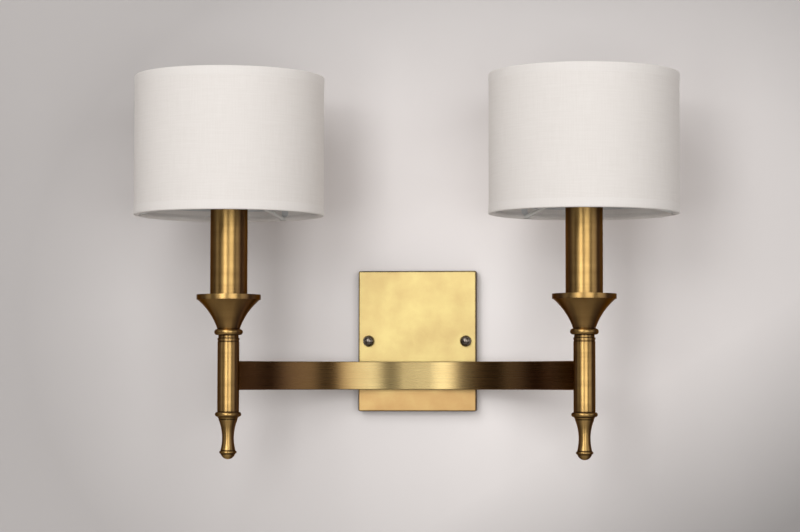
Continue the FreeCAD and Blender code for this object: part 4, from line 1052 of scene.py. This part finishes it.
def new_tree(name, inputs):
    """An empty tree: inputs are name: (kind, default). Returns the tree, its inputs and its output.
    Every tree can also be turned, put at a place and given a finish."""
    tree = bpy.data.node_groups.new(name, "GeometryNodeTree")
    tree.is_modifier = True
    tree.interface.new_socket(name="Geometry", in_out="INPUT", socket_type="NodeSocketGeometry")
    shared = {"Turn": ("spot", ORIGIN), "Place": ("spot", ORIGIN), "Finish": ("finish", None)}
    for socket, (kind, default) in {**inputs, **shared}.items():
        made = tree.interface.new_socket(name=socket, in_out="INPUT", socket_type=TREE_SOCKETS[kind])
        if default is not None:
            made.default_value = default
    tree.interface.new_socket(name="Geometry", in_out="OUTPUT", socket_type="NodeSocketGeometry")
    sink = tree.nodes.new("NodeGroupOutput").inputs["Geometry"]
    return tree, tree.nodes.new("NodeGroupInput").outputs, sink


def close_tree(tree, geometry, given, out):
    """Turn and place it, realise, shade smooth and set the finish, as the last steps of every tree."""
    placed = add(
        tree, "GeometryNodeTransform", Geometry=geometry, Rotation=given["Turn"], Translation=given["Place"],
    ).outputs[0]
    plain = add(tree, "GeometryNodeRealizeInstances", Geometry=placed).outputs[0]
    smooth = add(tree, "GeometryNodeSetShadeSmooth", Geometry=plain).outputs[0]
    dressed = add(tree, "GeometryNodeSetMaterial", Geometry=smooth, Material=given["Finish"]).outputs[0]
    tree.links.new(dressed, out)
    print("tree", tree.name)


def grow(name, tree, body, slot, **values):
    """Run a tree on an empty piece and keep the result as plain mesh."""
    piece = stand(name, bpy.data.meshes.new(name))
    modifier = piece.modifiers.new(tree.name, "NODES")
    modifier.node_group = tree
    for socket in tree.interface.items_tree:
        value = values.get(socket.name.replace(" ", "_"))
        if socket.in_out == "INPUT" and value is not None:
            modifier[socket.identifier] = value
    finish_modifiers(piece)
    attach(piece, body)
    print(name, len(piece.data.polygons), "faces")
    return piece


# %% [markdown]
# ### A threaded rod
# The tree starts with a closed upright cylinder and moves each point in towards the axis. How far
# depends on its height and on its angle round the axis, so the groove climbs one pitch each turn. The
# thread runs out at both ends. Last, the rod is turned and moved into place.

# %% Threaded rod
threaded_rod, given, out = new_tree("threaded_rod", {
    "Radius": ("length", 0.002), "Length": ("length", 0.016), "Pitch": ("length", 0.0007),
    "Depth": ("length", 0.0003), "Run Out": ("length", 0.001),
    "Around": ("count", 32), "Steps": ("count", 160),
})
tree = threaded_rod
rod = add(
    tree, "GeometryNodeMeshCylinder", {"fill_type": "NGON"},
    Vertices=given["Around"], Side_Segments=given["Steps"], Radius=given["Radius"], Depth=given["Length"],
).outputs["Mesh"]
x, y, z = split(tree, add(tree, "GeometryNodeInputPosition").outputs[0])
turned = calc(tree, "ARCTAN2", y, x)
climb = times(tree, over(tree, z, given["Pitch"]), math.tau)
wave = calc(tree, "COSINE", minus(tree, climb, turned))
groove = calc(tree, "MULTIPLY_ADD", wave, -0.5, 0.5)
to_end = minus(tree, over(tree, given["Length"], 2.0), size_of(tree, z))
run_in = calc(tree, "DIVIDE", to_end, given["Run Out"], clamp=True)
inward = times(tree, times(tree, groove, run_in), given["Depth"])
keep = minus(tree, 1.0, over(tree, inward, given["Radius"]))
shaped = add(
    tree, "GeometryNodeSetPosition", Geometry=rod,
    Position=join(tree, times(tree, x, keep), times(tree, y, keep), z),
).outputs[0]
close_tree(tree, shaped, given, out)

# %% [markdown]
# ### A wound bead
# On a piece with a hole through it, a whole rod would fill the hole. Its thread is instead one thin
# bead, wound round the outside along a spiral and sunk half into the surface. Its place is its foot.

# %% Wound bead
wound_bead, given, out = new_tree("wound_bead", {
    "Radius": ("length", 0.0148), "Height": ("length", 0.014),
    "Turns": ("length", 7.0), "Bead": ("length", 0.0003),
})
tree = wound_bead
path = add(
    tree, "GeometryNodeCurveSpiral", Resolution=48, Rotations=given["Turns"],
    Start_Radius=given["Radius"], End_Radius=given["Radius"], Height=given["Height"],
).outputs[0]
outline = add(tree, "GeometryNodeCurvePrimitiveCircle", Resolution=8, Radius=given["Bead"]).outputs[0]
bead = add(tree, "GeometryNodeCurveToMesh", Curve=path, Profile_Curve=outline, Fill_Caps=True).outputs[0]
close_tree(tree, bead, given, out)

# %% [markdown]
# ### Things set round a ring
# The same tree sets the finger ribs round a ring nut and the weld beads round a wire ring: points on a
# circle, a rounded grain on each, turned to face outwards. Only the number, the grain's three
# half-sizes and the angle of the first one, which is the turn of the whole ring, differ.

# %% Grains round a ring
grains_round, given, out = new_tree("grains_round", {
    "Radius": ("length", 0.018), "Count": ("count", 30), "Grain": ("spot", (0.0004, 0.0006, 0.0018)),
})
tree = grains_round
spots = add(
    tree, "GeometryNodeMeshCircle", {"fill_type": "NONE"}, Vertices=given["Count"], Radius=given["Radius"],
).outputs[0]
x, y, _ = split(tree, add(tree, "GeometryNodeInputPosition").outputs[0])
facing_out = join(tree, 0.0, 0.0, calc(tree, "ARCTAN2", y, x))
grain = add(tree, "GeometryNodeMeshIcoSphere", Radius=1.0, Subdivisions=3).outputs[0]
sized = add(tree, "GeometryNodeTransform", Geometry=grain, Scale=given["Grain"]).outputs[0]
ring = add(
    tree, "GeometryNodeInstanceOnPoints", Points=spots, Instance=sized, Rotation=facing_out,
).outputs[0]
close_tree(tree, ring, given, out)

# %% [markdown]
# ### The bulbs' and the studs' threads
# A bulb's screw cap is thin sheet that is rolled into a coarse, round thread, and the bracket's two
# studs are fine machine screws. Nothing passes through either of them, so each becomes one threaded
# rod at the size of its solid. A bump map would be quicker, but it would leave the outline smooth.

# %% Threads on the bulb caps and the bracket's studs
CAP_THREAD = {"Pitch": 3.63 * MM, "Depth": 0.95 * MM, "Run_Out": 2.5 * MM, "Around": 72, "Steps": 84}
STUD_THREAD = {"Pitch": 0.7 * MM, "Depth": 0.28 * MM, "Run_Out": 0.6 * MM, "Around": 24, "Steps": 188}
LYING = (math.pi / 2, 0.0, 0.0)

for side in SIDES:
    low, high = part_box(f"bulb_base_{side}")
    cap = grow(
        f"screw_cap_{side}", threaded_rod, f"bulb_{side}", SLOT_OF[f"bulb_base_{side}"], **CAP_THREAD,
        Radius=(high.x - low.x) / 2, Length=high.z - low.z, Place=tuple((low + high) / 2),
        Finish=bulb_aluminium,
    )
    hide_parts(f"bulb_base_{side}")

low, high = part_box("bracket_studs")
stud_radius = (high.z - low.z) / 2
for side, sign in (("left", -1), ("right", 1)):
    stud = grow(
        f"stud_thread_{side}", threaded_rod, "fixture", SLOT_OF["bracket_studs"], **STUD_THREAD,
        Radius=stud_radius, Length=high.y - low.y, Turn=LYING,
        Place=(sign * (high.x - stud_radius), (low.y + high.y) / 2, (low.z + high.z) / 2),
        Finish=zinc_steel,
    )
    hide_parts("bracket_studs")

# %% [markdown]
# ### The lampholders' and the stem's threads
# The two rings screw onto a thread outside each lampholder, and the arm's nut onto the stem. Both
# pieces are hollow, so their solids stay as they are, and a bead is wound round them.

# %% Threads on the lampholders and the arm's stem
HOLDER_THREAD = 13.5 * MM
HOLDER_BEAD, STEM_BEAD = 0.30 * MM, 0.22 * MM
HOLDER_SUNK, STEM_SUNK = 0.15 * MM, 0.16 * MM
THREAD_MARGIN = 1.0 * MM    # how far a thread stays from a lampholder's rim, or from a stem's two ends

for side in SIDES:
    node = f"lampholder_{side}"
    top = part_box(node)[1].z
    grow(
        f"holder_thread_{side}", wound_bead, "fixture", SLOT_OF[node],
        Radius=half_width(node) - HOLDER_SUNK, Height=HOLDER_THREAD, Turns=8.0, Bead=HOLDER_BEAD,
        Place=on_axis(side, top - HOLDER_THREAD - THREAD_MARGIN), Finish=moulded_resin,
    )

low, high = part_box("arm_stem")
grow(
    "stem_thread", wound_bead, "fixture", SLOT_OF["arm_stem"],
    Radius=half_width("arm_stem") - STEM_SUNK, Height=high.y - low.y - THREAD_MARGIN, Turns=7.0,
    Bead=STEM_BEAD, Turn=LYING, Place=(0.0, high.y - THREAD_MARGIN / 2, (low.z + high.z) / 2),
    Finish=zinc_steel,
)

# %% [markdown]
# ### The ring nuts' ribs
# The two rings that clamp a shade are turned by hand, so ribs are moulded round them. The gaps could
# be cut out of the ring, but a grain half sunk into it gives a rounded rib for fewer faces.

# %% Finger ribs on the ring nuts
RIB_COUNT = 36
RIB_SUNK, RIB_WIDE, RIB_DEEP = 0.1 * MM, 0.7 * MM, 0.45 * MM
RIB_SHARE = 0.42    # half a rib's height, as a share of its ring's

for side in SIDES:
    for ring_name in ("shade_rest_ring", "shade_clamp_ring"):
        node = f"{ring_name}_{side}"
        low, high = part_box(node)
        grow(
            f"{ring_name}_ribs_{side}", grains_round, "fixture", SLOT_OF[node],
            Radius=half_width(node) - RIB_SUNK, Count=RIB_COUNT,
            Grain=(RIB_DEEP, RIB_WIDE, (high.z - low.z) * RIB_SHARE),
            Place=on_axis(side, (low.z + high.z) / 2), Finish=ring_plastic,
        )

# %% [markdown]
# ### The shade's welds
# Each of the three spokes is welded to the ring and to the hub, which leaves a flat bead at both ends.
# The first bead's angle is read off the spokes, so the beads follow them if the part changes.

# %% Weld beads at both ends of the spokes
RING_WELD = (1.5 * MM, 2.3 * MM, 1.35 * MM)
HUB_WELD = (1.6 * MM, 2.1 * MM, 1.1 * MM)
RING_WELD_IN, RING_WELD_RISE = 1.1 * MM, 1.7 * MM    # from the ring's middle and from the carrier's foot
HUB_WELD_IN = 0.5 * MM

for side in SIDES:
    carrier, hub = f"shade_carrier_{side}", f"shade_hub_{side}"
    carrier_low, hub_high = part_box(carrier)[0].z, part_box(hub)[1].z
    first = (0.0, 0.0, spoke_angles(side)[0])
    grow(
        f"ring_welds_{side}", grains_round, f"shade_{side}", SLOT_OF[carrier],
        Radius=RING_RADIUS - RING_WELD_IN, Count=SPOKES, Grain=RING_WELD, Turn=first,
        Place=on_axis(side, carrier_low + RING_WELD_RISE), Finish=white_wire,
    )
    grow(
        f"hub_welds_{side}", grains_round, f"shade_{side}", SLOT_OF[hub],
        Radius=half_width(hub) - HUB_WELD_IN, Count=SPOKES, Grain=HUB_WELD, Turn=first,
        Place=on_axis(side, hub_high), Finish=white_wire,
    )

# %% [markdown]
# ## Wall, floor and light
# The stage is a pale plastered wall and a pale floor far below. The wall has a hole where the wall
# box would be, hidden by the plate, and it can't be seen from behind, so that the back of the
# sconce can be looked at. The light is two softboxes, as the twin highlights on the tubes show: a
# large one up on the left, which casts the soft shadows, and one on the right. A narrow card beside
# the key and two dim ones far out to the sides give the brass its bands of light and dark.

# %% Plaster of the wall
# Painted light: the wall is painted palest a little right of the middle and darker away from there and
# towards the lower right, a painted pool of light.
LIT_POOL_X, LIT_POOL_Z = 0.08, 0.03
FALL_START, FALL_FULL, FALL_TO = 0.13, 0.45, 0.565        # metres from the palest spot, and a share
CORNER_START, CORNER_FULL, CORNER_TO = 0.28, 0.60, 0.52    # the same toward the lower right corner
HEIGHT_WEIGHT, CORNER_SLOPE = 1.25, -1.6                   # how much a step up counts in each of them

plaster, tree, shader, here = new_finish("plaster")
aged = effect(tree, patina, Coordinates=here, Cloud_Size=0.25, Fleck_Size=2 * MM)
across, _, up = split(tree, here)
from_x = minus(tree, across, LIT_POOL_X)
from_z = times(tree, minus(tree, up, LIT_POOL_Z), HEIGHT_WEIGHT)
away = calc(tree, "SQRT", plus(tree, times(tree, from_x, from_x), times(tree, from_z, from_z)))
corner = calc(tree, "MULTIPLY_ADD", up, CORNER_SLOPE, across)
# Painted light falloff over the wall.
shade = times(
    tree, fit(tree, away, FALL_START, FALL_FULL, 1.0, FALL_TO),
    fit(tree, corner, CORNER_START, CORNER_FULL, 1.0, CORNER_TO),
)
pale = blend_colours(tree, aged["Cloud"], (0.93, 0.892, 0.878, 1), (0.91, 0.872, 0.858, 1))
skin = effect(tree, coated_skin, Coordinates=here, Dimple=4 * MM)["Height"]
surface(tree, shader, blend_colours(tree, shade, (0.0, 0.0, 0.0, 1), pale), 0.85, skin, 0.15, 0.3 * MM)
one_sided = add(tree, "ShaderNodeMixShader")
behind = add(tree, "ShaderNodeNewGeometry").outputs["Backfacing"]
seen_through = add(tree, "ShaderNodeBsdfTransparent").outputs[0]
front = next(made for made in tree.nodes if made.type == "BSDF_PRINCIPLED").outputs[0]
for socket, value in zip(one_sided.inputs, (behind, front, seen_through)):
    feed(tree, socket, value)
output = next(made for made in tree.nodes if made.type == "OUTPUT_MATERIAL")
feed(tree, output.inputs["Surface"], one_sided.outputs[0])

# %% Wall and floor
WALL_GAP = 0.3 * MM
BOX_HALF_WIDTH, BOX_HALF_HEIGHT = 0.049, 0.058
STAGE_HALF, WALL_FOOT, WALL_TOP = 4, -2, 3
FLOOR_LEVEL = -1.6

wall_outside = [
    (-STAGE_HALF, WALL_FOOT), (STAGE_HALF, WALL_FOOT), (STAGE_HALF, WALL_TOP), (-STAGE_HALF, WALL_TOP),
]
signs = [(-1, -1), (1, -1), (1, 1), (-1, 1)]
wall_inside = [(x * BOX_HALF_WIDTH, z * BOX_HALF_HEIGHT) for x, z in signs]
wall = new_piece(
    "wall", plaster,
    [(x, WALL_GAP, z) for x, z in wall_outside + wall_inside],
    [(0, 1, 5, 4), (1, 2, 6, 5), (2, 3, 7, 6), (3, 0, 4, 7)], smooth=False,
)

pale_floor, tree, shader, here = new_finish("pale_floor", Roughness=0.7)
aged = effect(tree, patina, Coordinates=here, Cloud_Size=0.4, Fleck_Size=3 * MM)
pale = blend_colours(tree, aged["Cloud"], (0.58, 0.56, 0.545, 1), (0.55, 0.53, 0.515, 1))
feed(tree, shader["Base Color"], pale)
floor = new_piece(
    "floor", pale_floor, [(x * STAGE_HALF, y * STAGE_HALF, FLOOR_LEVEL) for x, y in signs], [(0, 1, 2, 3)],
    smooth=False,
)

# %% [markdown]
# ### Softboxes
# Polished brass shows what stands round it, so the lights are wide cards and not points: the width of
# a card is the width of its highlight. Each is given by where it stands and by its radiance, so that
# a card can be made larger without growing any brighter in the metal.

# %% Softboxes
LIT_SPOT = Vector((0, -0.05, 0.05))
LIGHT_DISTANCE = 2.6
SOFTBOXES = {
    # name: degrees to the right of straight out from the wall, degrees up, width, height, radiance
    "key": (-20, 29, 1.8, 1.8, 2.7),
    "left_card": (-14.5, 2, 0.72, 1.6, 3.7),
    "right_card": (21.5, 3, 1.28, 1.6, 3.1),
    "far_left_card": (-68, 5, 1.0, 1.4, 0.6),
    "far_right_card": (67, 5, 1.5, 1.4, 1.5),
}

for name, (azimuth, elevation, width, height, radiance) in SOFTBOXES.items():
    data = bpy.data.lights.new(name, "AREA")
    data.shape = "RECTANGLE"
    data.size, data.size_y = width, height
    data.energy = radiance * math.pi * width * height
    light = stand(name, data)
    shining = heading(-math.radians(azimuth), -math.radians(elevation))
    light.location = LIT_SPOT - shining * LIGHT_DISTANCE
    aim(light, shining)
print("lights:", sorted(SOFTBOXES))

# %% [markdown]
# ### The room
# Between the cards the brass mirrors the room, which is dim and brown all round and pale only
# overhead. The camera itself sees a plain pale grey there, which adds no light to the object.

# %% The room
room = bpy.data.worlds.new("room")
room.use_nodes = True
bpy.context.scene.world = room
tree = room.node_tree
tree.nodes.clear()
direction = split(tree, add(tree, "ShaderNodeTexCoord").outputs["Generated"])
overhead = fit(tree, direction[2], 0.5, 1.0, 0.0, 1.0)
seen = blend_colours(tree, overhead, (0.050, 0.031, 0.021, 1), (0.42, 0.40, 0.385, 1))
path = add(tree, "ShaderNodeLightPath").outputs
shown = blend_colours(tree, path["Is Camera Ray"], seen, (0.78, 0.76, 0.75, 1))
glow = add(tree, "ShaderNodeBackground", Color=shown, Strength=1.0)
tree.links.new(glow.outputs[0], add(tree, "ShaderNodeOutputWorld").inputs["Surface"])
print("room:", room.name)
